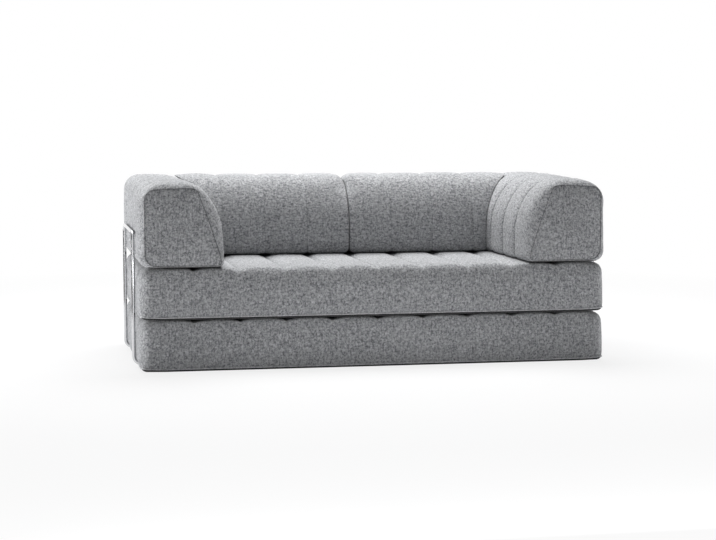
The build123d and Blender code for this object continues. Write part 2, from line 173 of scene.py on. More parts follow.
@dataclass
class Skin:
    """A surface in the making: points, faces, their cloth coordinates and the distances to the seams."""

    points: np.ndarray
    faces: list[tuple[int, ...]] = field(default_factory=list)
    cloth: list[tuple[float, float]] = field(default_factory=list)
    seam: np.ndarray | None = None
    run: np.ndarray | None = None

    def add_face(self, corners: tuple[int, ...], cloth: Cloth) -> None:
        """Adds a face by its points' numbers, with cloth coordinates in metres for each corner."""
        self.faces.append(corners)
        self.cloth.extend(cloth)

    def add_band(self, near: int, far: int, count: int, cloth: Callable[[int], Cloth],
                 closed: bool = True) -> None:
        """Joins two rings of points with quads.

        Args:
            near: The number of one ring among the points.
            far: The number of the other.
            count: How many points a ring has.
            cloth: Gives the cloth coordinates of the quad at each step round the ring.
            closed: Whether a ring's last point joins its first.
        """
        for step in range(count if closed else count - 1):
            after = (step + 1) % count
            corners = (near * count + step, near * count + after, far * count + after, far * count + step)
            self.add_face(corners, cloth(step))

    def mesh(self, name: str) -> bpy.types.Object:
        """Makes the object with its faces turned outward.

        Args:
            name: The piece's name.

        Returns:
            The smooth-shaded object, linked to the scene.
        """
        data = bpy.data.meshes.new(name)
        data.from_pydata([tuple(point) for point in self.points], [], self.faces)
        layer = data.uv_layers.new(name="cloth")
        layer.data.foreach_set("uv", np.array(self.cloth, np.float32).ravel())
        for label, values in (("seam", self.seam), ("run", self.run)):
            if values is not None:
                attribute = data.attributes.new(label, "FLOAT", "POINT")
                attribute.data.foreach_set("value", values.astype(np.float32))
        work = bmesh.new()
        work.from_mesh(data)
        bmesh.ops.recalc_face_normals(work, faces=work.faces)
        work.to_mesh(data)
        work.free()
        data.shade_smooth()
        piece = bpy.data.objects.new(name, data)
        bpy.context.scene.collection.objects.link(piece)
        return piece


def coordinates(piece: bpy.types.Object) -> np.ndarray:
    """The places of a mesh's points.

    Args:
        piece: The object with the mesh.

    Returns:
        One row for each point.
    """
    places = np.zeros(len(piece.data.vertices) * 3, np.float32)
    piece.data.vertices.foreach_get("co", places)
    return places.reshape(-1, 3).astype(float)


def move_points(piece: bpy.types.Object, places: np.ndarray) -> None:
    """Gives a mesh's points new places, one row each."""
    piece.data.vertices.foreach_set("co", places.astype(np.float32).ravel())
    piece.data.update()


def normals(piece: bpy.types.Object) -> np.ndarray:
    """The outward direction at each of a mesh's points.

    Args:
        piece: The object with the mesh.

    Returns:
        One row for each point.
    """
    found = np.zeros(len(piece.data.vertices) * 3, np.float32)
    piece.data.vertices.foreach_get("normal", found)
    return found.reshape(-1, 3).astype(float)


def joined(skins: list[Skin]) -> Skin:
    """Puts several skins into one.

    Args:
        skins: The skins, without seams.

    Returns:
        One skin with all their faces.
    """
    whole = Skin(np.vstack([skin.points for skin in skins]))
    start = 0
    for skin in skins:
        whole.faces += [tuple(index + start for index in face) for face in skin.faces]
        whole.cloth += skin.cloth
        start += len(skin.points)
    return whole


def tube(path: np.ndarray, radius: float, sides: int, closed: bool = False) -> Skin:
    """A round tube along a path.

    Args:
        path: Points of its centre line.
        radius: Its radius.
        sides: How many sides its section has.
        closed: Whether the path's end joins its start.

    Returns:
        The tube's skin, with flat ends where it is open.
    """
    count = len(path)
    ahead = np.roll(path, -1, axis=0) - path
    behind = path - np.roll(path, 1, axis=0)
    if not closed:
        ahead[-1] = behind[-1]
        behind[0] = ahead[0]
    heading = unit(unit(ahead) + unit(behind))
    side = np.cross(heading[0], (0.0, 0.0, 1.0))
    upright = np.linalg.norm(side) < 0.1
    if upright:
        side = np.cross(heading[0], (0.0, 1.0, 0.0))
    angles = np.arange(sides) / sides * math.tau
    low, high = radius * angles, radius * (angles + math.tau / sides)
    length = lengths_along(path)
    rings = []
    for index in range(count):
        side = side - heading[index] * side.dot(heading[index])
        side = side / np.linalg.norm(side)
        other = np.cross(heading[index], side)
        round_about = np.outer(np.cos(angles), side) + np.outer(np.sin(angles), other)
        rings.append(path[index] + radius * round_about)
    skin = Skin(np.vstack(rings))
    for index in range(count if closed else count - 1):
        after = (index + 1) % count
        start = length[index]
        stop = start + length[1] if after == 0 else length[after]
        skin.add_band(index, after, sides, lambda step: (
            (low[step], start), (high[step], start), (high[step], stop), (low[step], stop)))
    if not closed:
        for base in (0, (count - 1) * sides):
            skin.add_face(
                tuple(range(base, base + sides)),
                tuple((radius * math.cos(angle), radius * math.sin(angle)) for angle in angles),
            )
    return skin


def block(centre: np.ndarray, axes: Axes, size: Triple) -> Skin:
    """A small block with any turn, such as a zip's tooth.

    Args:
        centre: Its middle.
        axes: Its three directions, each of length 1.
        size: Its full length along each of them.

    Returns:
        Its skin.
    """
    corners = []
    for a in (-0.5, 0.5):
        for b in (-0.5, 0.5):
            for c in (-0.5, 0.5):
                corners.append(centre + a * size[0] * axes[0] + b * size[1] * axes[1] + c * size[2] * axes[2])
    skin = Skin(np.array(corners))
    for face in ((0, 1, 3, 2), (4, 6, 7, 5), (0, 4, 5, 1), (2, 3, 7, 6), (0, 2, 6, 4), (1, 5, 7, 3)):
        skin.add_face(face, ((0.0, 0.0), (size[0], 0.0), (size[0], size[1]), (0.0, size[1])))
    return skin


def snapped(points: np.ndarray, piece: bpy.types.Object) -> tuple[np.ndarray, np.ndarray]:
    """The nearest places on a finished piece.

    Args:
        points: Where to look from.
        piece: The piece with its modifiers.

    Returns:
        The places on its surface and the outward directions there.
    """
    tree = BVHTree.FromObject(piece, bpy.context.evaluated_depsgraph_get())
    places, directions = [], []
    for point in points:
        place, direction, _, _ = tree.find_nearest(Vector(point))
        places.append(place)
        directions.append(direction)
    return np.array(places), np.array(directions)


@dataclass
class NodeTree:
    """Shader nodes in the making."""

    tree: bpy.types.NodeTree

    def node(self, kind: str, inputs: dict | None = None, **settings) -> bpy.types.Node:
        """Adds a node.

        Args:
            kind: Its type, without the leading ShaderNode.
            inputs: Values or sockets for its inputs, by name or number.
            **settings: Its other properties.

        Returns:
            The node.
        """
        made = self.tree.nodes.new("ShaderNode" + kind)
        for label, value in settings.items():
            setattr(made, label, value)
        for label, value in (inputs or {}).items():
            self.feed(made.inputs[label], value)
        return made

    def feed(self, socket: bpy.types.NodeSocket, value: object) -> None:
        """Links a socket into an input, or sets its value.

        Args:
            socket: The input.
            value: A socket or a plain value.
        """
        if isinstance(value, bpy.types.NodeSocket):
            self.tree.links.new(value, socket)
        else:
            socket.default_value = value

    def sum(self, operation: str, first: object, second: object = 0.0) -> bpy.types.NodeSocket:
        """A calculation with one or two numbers.

        Args:
            operation: Its name in a Math node.
            first: A number or socket.
            second: Another one.

        Returns:
            The result.
        """
        return self.node("Math", {0: first, 1: second}, operation=operation).outputs[0]

    def ripple(self, value: object, turn: float, operation: str = "SINE") -> bpy.types.NodeSocket:
        """A wave along a value, by its turn in radians for each unit of the value."""
        return self.sum(operation, self.sum("MULTIPLY", value, turn))

    def place(self) -> bpy.types.NodeSocket:
        """The place on the piece in metres."""
        return self.node("TexCoord").outputs["Object"]

    def split(self, vector: object) -> bpy.types.bpy_prop_collection:
        """A vector's three numbers."""
        return self.node("SeparateXYZ", {0: vector}).outputs

    def span(self, value: object, low: float, high: float, start: float = 0.0,
             stop: float = 1.0) -> bpy.types.NodeSocket:
        """Maps a range of values to another, clamped.

        Args:
            value: The socket to map.
            low: The value that gives start.
            high: The value that gives stop.
            start: The result at low.
            stop: The result at high.

        Returns:
            The mapped number.
        """
        ranges = {"Value": value, "From Min": low, "From Max": high, "To Min": start, "To Max": stop}
        return self.node("MapRange", ranges, clamp=True).outputs[0]

    def mix(self, share: object, first: object, second: object) -> bpy.types.NodeSocket:
        """A blend of two colours.

        Args:
            share: The share of the second.
            first: A colour of four numbers or a socket.
            second: Another one.

        Returns:
            The blended colour.
        """
        made = self.node("Mix", {0: share, 6: first, 7: second}, data_type="RGBA")
        return made.outputs[2]

    def layered(self, ground: object, layers: tuple[tuple[object, object], ...]) -> bpy.types.NodeSocket:
        """Lays colours over a ground, one after another.

        Args:
            ground: The colour below them.
            layers: Each one's share and its colour.

        Returns:
            The colour of them all.
        """
        for share, colour in layers:
            ground = self.mix(share, ground, colour)
        return ground

    def grain(self, vector: object, scale: float, detail: float = 2.0,
              rough: float = 0.5) -> bpy.types.NodeSocket:
        """Noise from 0 to 1 at places in metres.

        Args:
            vector: Where it is read.
            scale: Bumps per metre.
            detail: How many finer layers it has.
            rough: How strong they are.

        Returns:
            The noise.
        """
        inputs = {"Vector": vector, "Scale": scale, "Detail": detail, "Roughness": rough}
        return self.node("TexNoise", inputs).outputs["Fac"]

    def stretched(self, vector: object, scale: Triple) -> bpy.types.NodeSocket:
        """Places scaled by a factor along each axis, so that noise read there comes out drawn."""
        return self.node("Mapping", {"Vector": vector, "Scale": scale}).outputs[0]

    def bump(self, height: object, depth: float, under: object = None) -> bpy.types.NodeSocket:
        """Relief from a height between 0 and 1.

        Args:
            height: The height.
            depth: How many metres a height of 1 stands up.
            under: A relief below it.

        Returns:
            The normal.
        """
        inputs = {"Height": height, "Distance": depth, "Strength": 1.0}
        if under is not None:
            inputs["Normal"] = under
        return self.node("Bump", inputs).outputs[0]

    def split_view(self, plain: bpy.types.NodeSocket, seen: bpy.types.NodeSocket, out: bpy.types.NodeSocket,
                   share: float | bpy.types.NodeSocket = 1.0) -> None:
        """Shows one shader to the camera and to shiny surfaces, and another to everything else.

        Args:
            plain: What lights the scene.
            seen: What the camera sees.
            out: Where the mix goes.
            share: How much of it the camera sees.
        """
        rays = self.node("LightPath").outputs
        shown = self.sum("MAXIMUM", rays["Is Camera Ray"], rays["Is Glossy Ray"])
        shown = self.sum("MAXIMUM", shown, rays["Is Transmission Ray"])
        inputs = {0: self.sum("MULTIPLY", shown, share), 1: plain, 2: seen}
        self.feed(out, self.node("MixShader", inputs).outputs[0])


class Recipe(NodeTree):
    """A material's nodes in the making, round its one shader."""

    def __init__(self, name: str) -> None:
        """Starts an empty recipe.

        Args:
            name: The material's name.
        """
        self.material = bpy.data.materials.new(name)
        self.material.use_nodes = True
        super().__init__(self.material.node_tree)
        self.shader = self.tree.nodes["Principled BSDF"]

    def finish(self, **values) -> bpy.types.Material:
        """Sets the shader's inputs.

        Args:
            **values: A value or socket for each, with underscores for the spaces in its name.

        Returns:
            The material.
        """
        for label, value in values.items():
            self.feed(self.shader.inputs[label.replace("_", " ")], value)
        return self.material


@dataclass(frozen=True)
class MelangeFabric:
    """Soft woven cloth of mixed light and dark yarns, drawn along the cloth's own threads."""

    name: str = "melange_fabric"
    ground: Colour = (0.388, 0.393, 0.405, 1.0)
    light: Colour = (0.68, 0.688, 0.70, 1.0)
    dark: Colour = (0.12, 0.124, 0.134, 1.0)
    # Painted shade in the seam grooves
    seam_shade: Colour = (0.055, 0.057, 0.062, 1.0)
    # Near-black underside cloth: painted shade for the gaps under the cushions
    base: Colour = (0.014, 0.014, 0.015, 1.0)
    yarn_pitch: float = 0.0026
    fleck_scale: float = 120.0
    slub_scale: tuple[float, float] = (38.0, 130.0)
    seam_shade_width: tuple[float, float] = (0.001, 0.0042)
    thread_width: tuple[float, float] = (0.0005, 0.0009)
    stitches_per_metre: float = 190.0
    stitch_share: float = 0.72
    nap_depth: float = 0.0011
    seam_depth: float = 0.0009

    def material(self) -> bpy.types.Material:
        """Builds the cloth's nodes.

        Returns:
            The material.
        """
        make = Recipe(self.name)
        cloth = make.node("UVMap", uv_map="cloth").outputs[0]
        place = make.place()
        across, along, _ = make.split(cloth)
        turn = math.pi / self.yarn_pitch
        wave = make.sum("MULTIPLY", make.ripple(across, turn), make.ripple(along, turn))
        cell = make.node("VectorMath", {0: cloth, 1: (self.yarn_pitch,) * 3}, operation="SNAP").outputs[0]
        yarn = make.node("TexWhiteNoise", {"Vector": cell}, noise_dimensions="3D").outputs["Value"]
        fleck = make.grain(place, self.fleck_scale, 3.0, 0.62)
        drawn, fine = self.slub_scale
        weft = make.grain(make.stretched(cloth, (drawn, fine, 1.0)), 1.0, 2.0, 0.6)
        warp = make.grain(make.stretched(cloth, (fine, drawn, 1.0)), 1.0, 2.0, 0.6)
        wear = make.grain(place, 5.0, 3.0, 0.55)
        seam = make.node("Attribute", attribute_name="seam").outputs["Fac"]
        run = make.node("Attribute", attribute_name="run").outputs["Fac"]
        dash = make.sum("FRACT", make.sum("MULTIPLY", run, self.stitches_per_metre))
        dash = make.sum("LESS_THAN", dash, self.stitch_share)
        thread = make.sum("MULTIPLY", dash, make.span(seam, *self.thread_width, 1.0, 0.0))
        tone = make.layered(self.ground, (
            (make.span(fleck, 0.5, 0.72), self.light),
            (make.span(fleck, 0.5, 0.3), self.dark),
            (make.span(weft, 0.5, 0.72, 0.0, 0.55), self.light),
            (make.span(warp, 0.5, 0.3, 0.0, 0.8), self.dark),
            (make.span(yarn, 0.82, 1.0, 0.0, 0.45), self.light),
            (make.span(yarn, 0.18, 0.0, 0.0, 0.45), self.dark),
            (make.span(wear, 0.5, 0.75, 0.0, 0.1), self.light),
            # Painted shade: the cloth darkens along the seam grooves
            (make.span(seam, *self.seam_shade_width, 0.85, 0.0), self.seam_shade),
            (make.sum("MULTIPLY", thread, 0.18), self.ground),
            # Painted shade: the underside turns near-black, so the gaps under the cushions read dark
            (make.span(seam, UNDERSIDE_SHADE * 0.4, UNDERSIDE_SHADE * 0.6), self.base),
        ))
        fluff = make.grain(place, 900.0, 2.0, 0.6)
        height = make.sum("ADD", make.sum("MULTIPLY", wave, 0.45), make.sum("MULTIPLY", fluff, 0.5))
        height = make.sum("ADD", height, make.sum("MULTIPLY", fleck, 0.55))
        relief = make.bump(height, self.nap_depth)
        raised = make.sum("ADD", make.span(seam, 0.0, 0.003), make.sum("MULTIPLY", thread, 0.3))
        relief = make.bump(raised, self.seam_depth, relief)
        return make.finish(Base_Color=tone, Normal=relief, Roughness=0.93, Specular_IOR_Level=0.22,
                           Sheen_Weight=0.18, Sheen_Roughness=0.55)


@dataclass(frozen=True)
class PolishedChrome:
    """Chrome plating with faint hairline wear."""

    name: str = "polished_chrome"
    colour: Colour = (0.70, 0.705, 0.715, 1.0)
    smeared: Colour = (0.62, 0.625, 0.64, 1.0)

    def material(self) -> bpy.types.Material:
        """Builds the plating's nodes.

        Returns:
            The material.
        """
        make = Recipe(self.name)
        place = make.place()
        hair = make.grain(make.stretched(place, (60.0, 60.0, 900.0)), 1.0, 3.0, 0.6)
        smear = make.grain(place, 24.0, 3.0, 0.6)
        tint = make.mix(make.span(smear, 0.35, 0.75), self.colour, self.smeared)
        gloss = make.sum("ADD", make.span(smear, 0.3, 0.8, 0.05, 0.12), make.span(hair, 0.6, 0.8, 0.0, 0.05))
        return make.finish(Base_Color=tint, Roughness=gloss, Metallic=1.0, Normal=make.bump(hair, 0.00002))


@dataclass(frozen=True)
class MouldedPlastic:
    """Matt moulded plastic with a fine spark-eroded grain."""

    name: str
    colour: Colour
    scuffed: Colour

    def material(self) -> bpy.types.Material:
        """Builds the plastic's nodes.

        Returns:
            The material.
        """
        make = Recipe(self.name)
        place = make.place()
        grain = make.grain(place, 2200.0, 2.0, 0.5)
        scuff = make.grain(place, 90.0, 4.0, 0.7)
        tint = make.mix(make.span(scuff, 0.55, 0.8), self.colour, self.scuffed)
        gloss = make.span(scuff, 0.3, 0.8, 0.5, 0.72)
        return make.finish(Base_Color=tint, Roughness=gloss, Normal=make.bump(grain, 0.00008))


@dataclass(frozen=True)
class OpenCellFoam:
    """Cut upholstery foam with open cells."""

    name: str = "open_cell_foam"
    colour: Colour = (0.86, 0.83, 0.70, 1.0)
    aged_tone_and_pore_shade: Colour = (0.62, 0.57, 0.42, 1.0)

    def material(self) -> bpy.types.Material:
        """Builds the foam's nodes.

        Returns:
            The material.
        """
        make = Recipe(self.name)
        place = make.place()
        cells = make.node("TexVoronoi", {"Vector": place, "Scale": 420.0}).outputs["Distance"]
        aged = make.grain(place, 7.0, 3.0, 0.6)
        # Darker cell middles are painted shade in the pores; the broad noise below is yellowing with age
        tint = make.mix(make.span(cells, 0.1, 0.6, 0.7, 0.0), self.colour, self.aged_tone_and_pore_shade)
        tint = make.mix(make.span(aged, 0.45, 0.8, 0.0, 0.3), tint, self.aged_tone_and_pore_shade)
        return make.finish(Base_Color=tint, Roughness=0.95, Normal=make.bump(cells, 0.0009))


@dataclass(frozen=True)
class SpringFelt:
    """Non-woven felt over rows of pocket springs."""

    name: str = "spring_felt"
    colour: Colour = (0.80, 0.80, 0.77, 1.0)
    fibre_tone_and_valley_shade: Colour = (0.52, 0.52, 0.50, 1.0)
    pocket: float = 0.06

    def material(self) -> bpy.types.Material:
        """Builds the felt's nodes.

        Returns:
            The material.
        """
        make = Recipe(self.name)
        place = make.place()
        rows = [make.ripple(axis, math.tau / self.pocket, "COSINE") for axis in make.split(place)[:2]]
        pockets = make.sum("MULTIPLY", make.sum("ADD", rows[0], rows[1]), 0.25)
        fibres = make.grain(place, 1200.0, 3.0, 0.7)
        # Painted shade darkens the valleys between the spring pockets; the fibre noise below is the felt's
        # own tone
        tint = make.mix(make.span(pockets, 0.1, -0.4), self.colour, self.fibre_tone_and_valley_shade)
        tint = make.mix(make.span(fibres, 0.5, 0.75, 0.0, 0.25), tint, self.fibre_tone_and_valley_shade)
        relief = make.bump(fibres, 0.0004, make.bump(pockets, 0.006))
        return make.finish(Base_Color=tint, Roughness=0.9, Normal=relief)


@dataclass(frozen=True)
class Plywood:
    """Birch plywood: drawn grain on the faces and thin plies at the edges."""

    name: str = "birch_plywood"
    colour: Colour = (0.72, 0.56, 0.37, 1.0)
    grain_dark: Colour = (0.47, 0.32, 0.18, 1.0)
    ply: float = 0.0015

    def material(self) -> bpy.types.Material:
        """Builds the wood's nodes.

        Returns:
            The material.
        """
        make = Recipe(self.name)
        place = make.place()
        across, along, _ = make.split(place)
        growth = make.grain(make.stretched(place, (9.0, 9.0, 130.0)), 1.0, 4.0, 0.6)
        pores = make.grain(make.stretched(place, (60.0, 60.0, 1400.0)), 1.0, 2.0, 0.6)
        layers = make.ripple(make.sum("ADD", across, along), math.tau / (2 * self.ply))
        edge = make.sum("ABSOLUTE", make.split(make.node("NewGeometry").outputs["Normal"])[2])
        tint = make.mix(make.span(growth, 0.35, 0.7, 0.0, 0.65), self.colour, self.grain_dark)
        tint = make.mix(make.span(pores, 0.6, 0.8, 0.0, 0.4), tint, self.grain_dark)
        plies = make.sum("MULTIPLY", make.span(layers, -0.2, 0.5, 0.0, 0.5), make.span(edge, 0.6, 0.8))
        tint = make.mix(plies, tint, self.grain_dark)
        return make.finish(Base_Color=tint, Roughness=0.55, Normal=make.bump(pores, 0.0002))


@dataclass(frozen=True)
class ZincPlate:
    """Bright zinc-plated steel with a mottled passivation."""

    name: str = "zinc_plate"
    colour: Colour = (0.62, 0.62, 0.60, 1.0)
    bloom: Colour = (0.70, 0.66, 0.50, 1.0)

    def material(self) -> bpy.types.Material:
        """Builds the plate's nodes.

        Returns:
            The material.
        """
        make = Recipe(self.name)
        place = make.place()
        mottle = make.grain(place, 240.0, 4.0, 0.65)
        turned = make.grain(make.stretched(place, (3000.0, 60.0, 60.0)), 1.0, 2.0, 0.5)
        tint = make.mix(make.span(mottle, 0.5, 0.75, 0.0, 0.6), self.colour, self.bloom)
        gloss = make.span(mottle, 0.3, 0.8, 0.25, 0.45)
        return make.finish(Base_Color=tint, Roughness=gloss, Metallic=1.0, Normal=make.bump(turned, 0.00004))


@dataclass(frozen=True)
class ZipTape:
    """Ribbed woven zip tape."""

    name: str = "zip_tape"
    colour: Colour = (0.16, 0.165, 0.175, 1.0)
    rib: Colour = (0.26, 0.265, 0.28, 1.0)
    rib_turn: float = 5200.0

    def material(self) -> bpy.types.Material:
        """Builds the tape's nodes.

        Returns:
            The material.
        """
        make = Recipe(self.name)
        place = make.place()
        across, along, up = make.split(place)
        herring = make.ripple(make.sum("ADD", make.sum("ADD", across, along), up), self.rib_turn)
        lint = make.grain(place, 500.0, 3.0, 0.6)
        tint = make.mix(make.span(herring, -0.2, 0.8), self.colour, self.rib)
        tint = make.mix(make.span(lint, 0.6, 0.8, 0.0, 0.3), tint, self.rib)
        return make.finish(Base_Color=tint, Roughness=0.85, Normal=make.bump(herring, 0.0002))


@dataclass(frozen=True)
class Outline:
    """A bolster's outline across its length, with u from its outer side and v up from its underside."""

    left: float
    right: float
    bottom: float
    top: float
    outer_low: float
    inner_low: float
    outer_top: float
    knee_u: float
    knee_v: float
    lean: float
    flat_end: float
    shoulder: float
    steps: tuple[int, ...] = (24, 4, 8, 16, 10, 10, 7, 20, 6)

    def ring(self) -> np.ndarray:
        """The closed outline.

        Returns:
            Its points (u, v), as many for every outline, from the outer end of its underside.
        """
        lean = math.radians(self.lean)
        centre = np.array((self.flat_end, self.top - self.shoulder))
        knee = np.array((self.knee_u, self.knee_v))
        reach = knee - centre
        toward = -np.array((math.cos(lean), math.sin(lean)))
        big = (self.shoulder**2 - reach.dot(reach)) / (2 * (reach.dot(toward) + self.shoulder))
        middle = knee + big * toward
        join = math.atan2(*(centre - middle)[::-1])
        low_outer = np.array((self.left + self.outer_low, self.bottom + self.outer_low))
        low_inner = np.array((self.right - self.inner_low, self.bottom + self.inner_low))
        top_outer = np.array((self.left + self.outer_top, self.top - self.outer_top))

        def arc(about: np.ndarray, radius: float, start: float, stop: float, count: int) -> np.ndarray:
            """Points along an arc, without its end."""
            angles = start + (stop - start) * np.arange(count) / count
            return about + radius * np.column_stack((np.cos(angles), np.sin(angles)))

        def line(start: tuple[float, float], stop: tuple[float, float], count: int) -> np.ndarray:
            """Points along a line, without its end."""
            share = np.arange(count)[:, None] / count
            return np.array(start) + share * (np.array(stop) - np.array(start))

        quarter = math.pi / 2
        counts = self.steps
        return np.vstack((
            line((low_outer[0], self.bottom), (low_inner[0], self.bottom), counts[0]),
            arc(low_inner, self.inner_low, -quarter, 0.0, counts[1]),
            line((self.right, low_inner[1]), tuple(knee), counts[2]),
            arc(middle, big, lean, join, counts[3]),
            arc(centre, self.shoulder, join, quarter, counts[4]),
            line((self.flat_end, self.top), (top_outer[0], self.top), counts[5]),
            arc(top_outer, self.outer_top, quarter, 2 * quarter, counts[6]),
            line((self.left, top_outer[1]), (self.left, low_outer[1]), counts[7]),
            arc(low_outer, self.outer_low, 2 * quarter, 3 * quarter, counts[8]),
        ))


BODY = Outline(left=0.0, right=0.367, bottom=0.0, top=0.368, outer_low=0.048, inner_low=0.026, outer_top=0.1,
               knee_u=0.367, knee_v=0.12, lean=0.0, flat_end=0.181, shoulder=0.15)
PANEL = Outline(left=0.027, right=0.351, bottom=0.011, top=0.339, outer_low=0.048, inner_low=0.015,
                outer_top=0.035, knee_u=0.341, knee_v=0.067, lean=17.2, flat_end=0.225, shoulder=0.03)
LOW_SHARE = 0.35


def body_outline(inset: float) -> Outline:
    """The bolster's full outline drawn in by an inset, of which its underside takes only a share.

    Args:
        inset: How far it is drawn in.

    Returns:
        The outline.
    """
    drawn = {label: getattr(BODY, label) - inset
             for label in ("right", "top", "outer_low", "outer_top", "knee_u", "shoulder")}
    low = inset * LOW_SHARE
    return replace(BODY, left=inset, bottom=low, inner_low=BODY.inner_low - low, **drawn)


CANVAS = {
    "quality": 4,
    "mass": 0.3,
    "tension_stiffness": 18.0,
    "compression_stiffness": 12.0,
    "shear_stiffness": 8.0,
    "bending_stiffness": 1.2,
}


@dataclass
class Cushion:
    """What the cushions share: swelling in a short cloth simulation, creasing and dressing."""

    name: str
    body: str
    fabric: bpy.types.Material
    seed: float
    fill: float = 0.8
    crease_depth: float = 0.0011
    wave_depth: float = 0.0019
    pressure: float = 3.5
    swell_cap: float = 0.006
    frames: int = 14
    ease_rounds: int = 8
    seam_shift: float = 0.0
    held_from: float = 0.004
    held_to: float = 0.04

    def skin(self) -> Skin:
        """The cushion's surface before it swells."""
        raise NotImplementedError

    def underside(self) -> float:
        """The height of the cushion's underside."""
        return SEAT_Z

    def held(self, piece: bpy.types.Object) -> np.ndarray:
        """How firmly each point is held in the swelling: fully at the seams and the underside.

        Args:
            piece: The cushion.

        Returns:
            A share from 0 to 1 for each point.
        """
        height = coordinates(piece)[:, 2] - self.underside()
        under = 1 - smooth_step(self.held_from, self.held_to, height)
        seam = np.exp(-((self.seam_points / HELD_WIDTH) ** 2))
        return np.clip(np.maximum(under, seam), 0.0, 1.0)

    def creased(self, places: np.ndarray, directions: np.ndarray, seam: np.ndarray,
                hold: np.ndarray) -> np.ndarray:
        """Adds the cloth's slow waves, and the small puckers that run out of its seams.

        Args:
            places: The points.
            directions: The outward direction at each.
            seam: The distance of each to its nearest seam.
            hold: How firmly each is held.

        Returns:
            The moved points.
        """
        waves = noise_at(places, (0.17, 0.17, 0.14), self.seed)
        waves = waves + 0.45 * noise_at(places, (0.06, 0.06, 0.05), self.seed)
        puckers = noise_at(places, (0.026, 0.026, 0.03), self.seed + 9.0)
        near = np.exp(-seam / 0.018)
        move = self.wave_depth * waves * (1 - 0.6 * near) + self.crease_depth * puckers * (0.25 + near)
        return places + directions * (move * (1 - hold))[:, None]

    def swollen(self, piece: bpy.types.Object) -> None:
        """Swells the cover in a cloth simulation, held at its seams and underside.

        Args:
            piece: The cushion.
        """
        start = coordinates(piece)
        group = piece.vertex_groups.new(name="held")
        for index, weight in enumerate(self.held(piece)):
            if weight > 0.02:
                group.add([index], float(weight), "REPLACE")
        cloth = piece.modifiers.new("swell", "CLOTH")
        cloth.settings.vertex_group_mass = "held"
        cloth.settings.use_pressure = True
        cloth.settings.uniform_pressure_force = self.pressure
        cloth.settings.effector_weights.gravity = 0.0
        for label, value in CANVAS.items():
            setattr(cloth.settings, label, value)
        cloth.collision_settings.use_collision = False
        cloth.collision_settings.use_self_collision = False
        cloth.point_cache.frame_start = 1
        cloth.point_cache.frame_end = self.frames
        scene = bpy.context.scene
        for number in range(1, self.frames + 1):
            scene.frame_set(number)
        shown = piece.evaluated_get(bpy.context.evaluated_depsgraph_get())
        found = np.zeros(len(shown.data.vertices) * 3, np.float32)
        shown.data.vertices.foreach_get("co", found)
        shift = found.reshape(-1, 3).astype(float) - start
        length = np.linalg.norm(shift, axis=1)
        capped = np.where(length > self.swell_cap, self.swell_cap / np.maximum(length, 1e-9), 1.0)
        piece.modifiers.remove(cloth)
        piece.vertex_groups.remove(group)
        move_points(piece, start + self.eased(piece, shift * capped[:, None]))
        scene.frame_set(1)
        log.info("%s swelled by up to %.1f mm", piece.name, 1000 * min(length.max(), self.swell_cap))

    def eased(self, piece: bpy.types.Object, shift: np.ndarray) -> np.ndarray:
        """Evens out the points' shifts between neighbours, so that the seams stay clean.

        Args:
            piece: The cushion.
            shift: How far each point moves.

        Returns:
            The evened shifts.
        """
        ends = np.zeros(len(piece.data.edges) * 2, np.int32)
        piece.data.edges.foreach_get("vertices", ends)
        ends = ends.reshape(-1, 2)
        neighbours = np.bincount(ends.ravel(), minlength=len(shift))[:, None]
        for _ in range(self.ease_rounds):
            total = np.zeros_like(shift)
            np.add.at(total, ends[:, 0], shift[ends[:, 1]])
            np.add.at(total, ends[:, 1], shift[ends[:, 0]])
            shift = (shift + total / neighbours) / 2
        return shift

    def confined(self, places: np.ndarray) -> np.ndarray:
        """Keeps the swollen points clear of what lies beside the cushion."""
        return places

    def build(self, node: str) -> bpy.types.Object:
        """Builds, swells, creases and dresses the cushion.

        Args:
            node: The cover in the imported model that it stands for.

        Returns:
            The finished piece.
        """
        skin = self.skin()
        piece = skin.mesh(self.name)
        hold = self.held(piece)
        self.swollen(piece)
        piece.data.update()
        places = self.creased(coordinates(piece), normals(piece), skin.seam, hold)
        move_points(piece, self.confined(places))
        piece.data.materials.append(self.fabric)
        smooth = piece.modifiers.new("smooth", "SUBSURF")
        smooth.levels = 1
        smooth.render_levels = 1
        smooth.uv_smooth = "NONE"
        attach(piece, self.body)
        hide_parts(node)
        log.info("%s: %d points", piece.name, len(piece.data.vertices))
        return piece


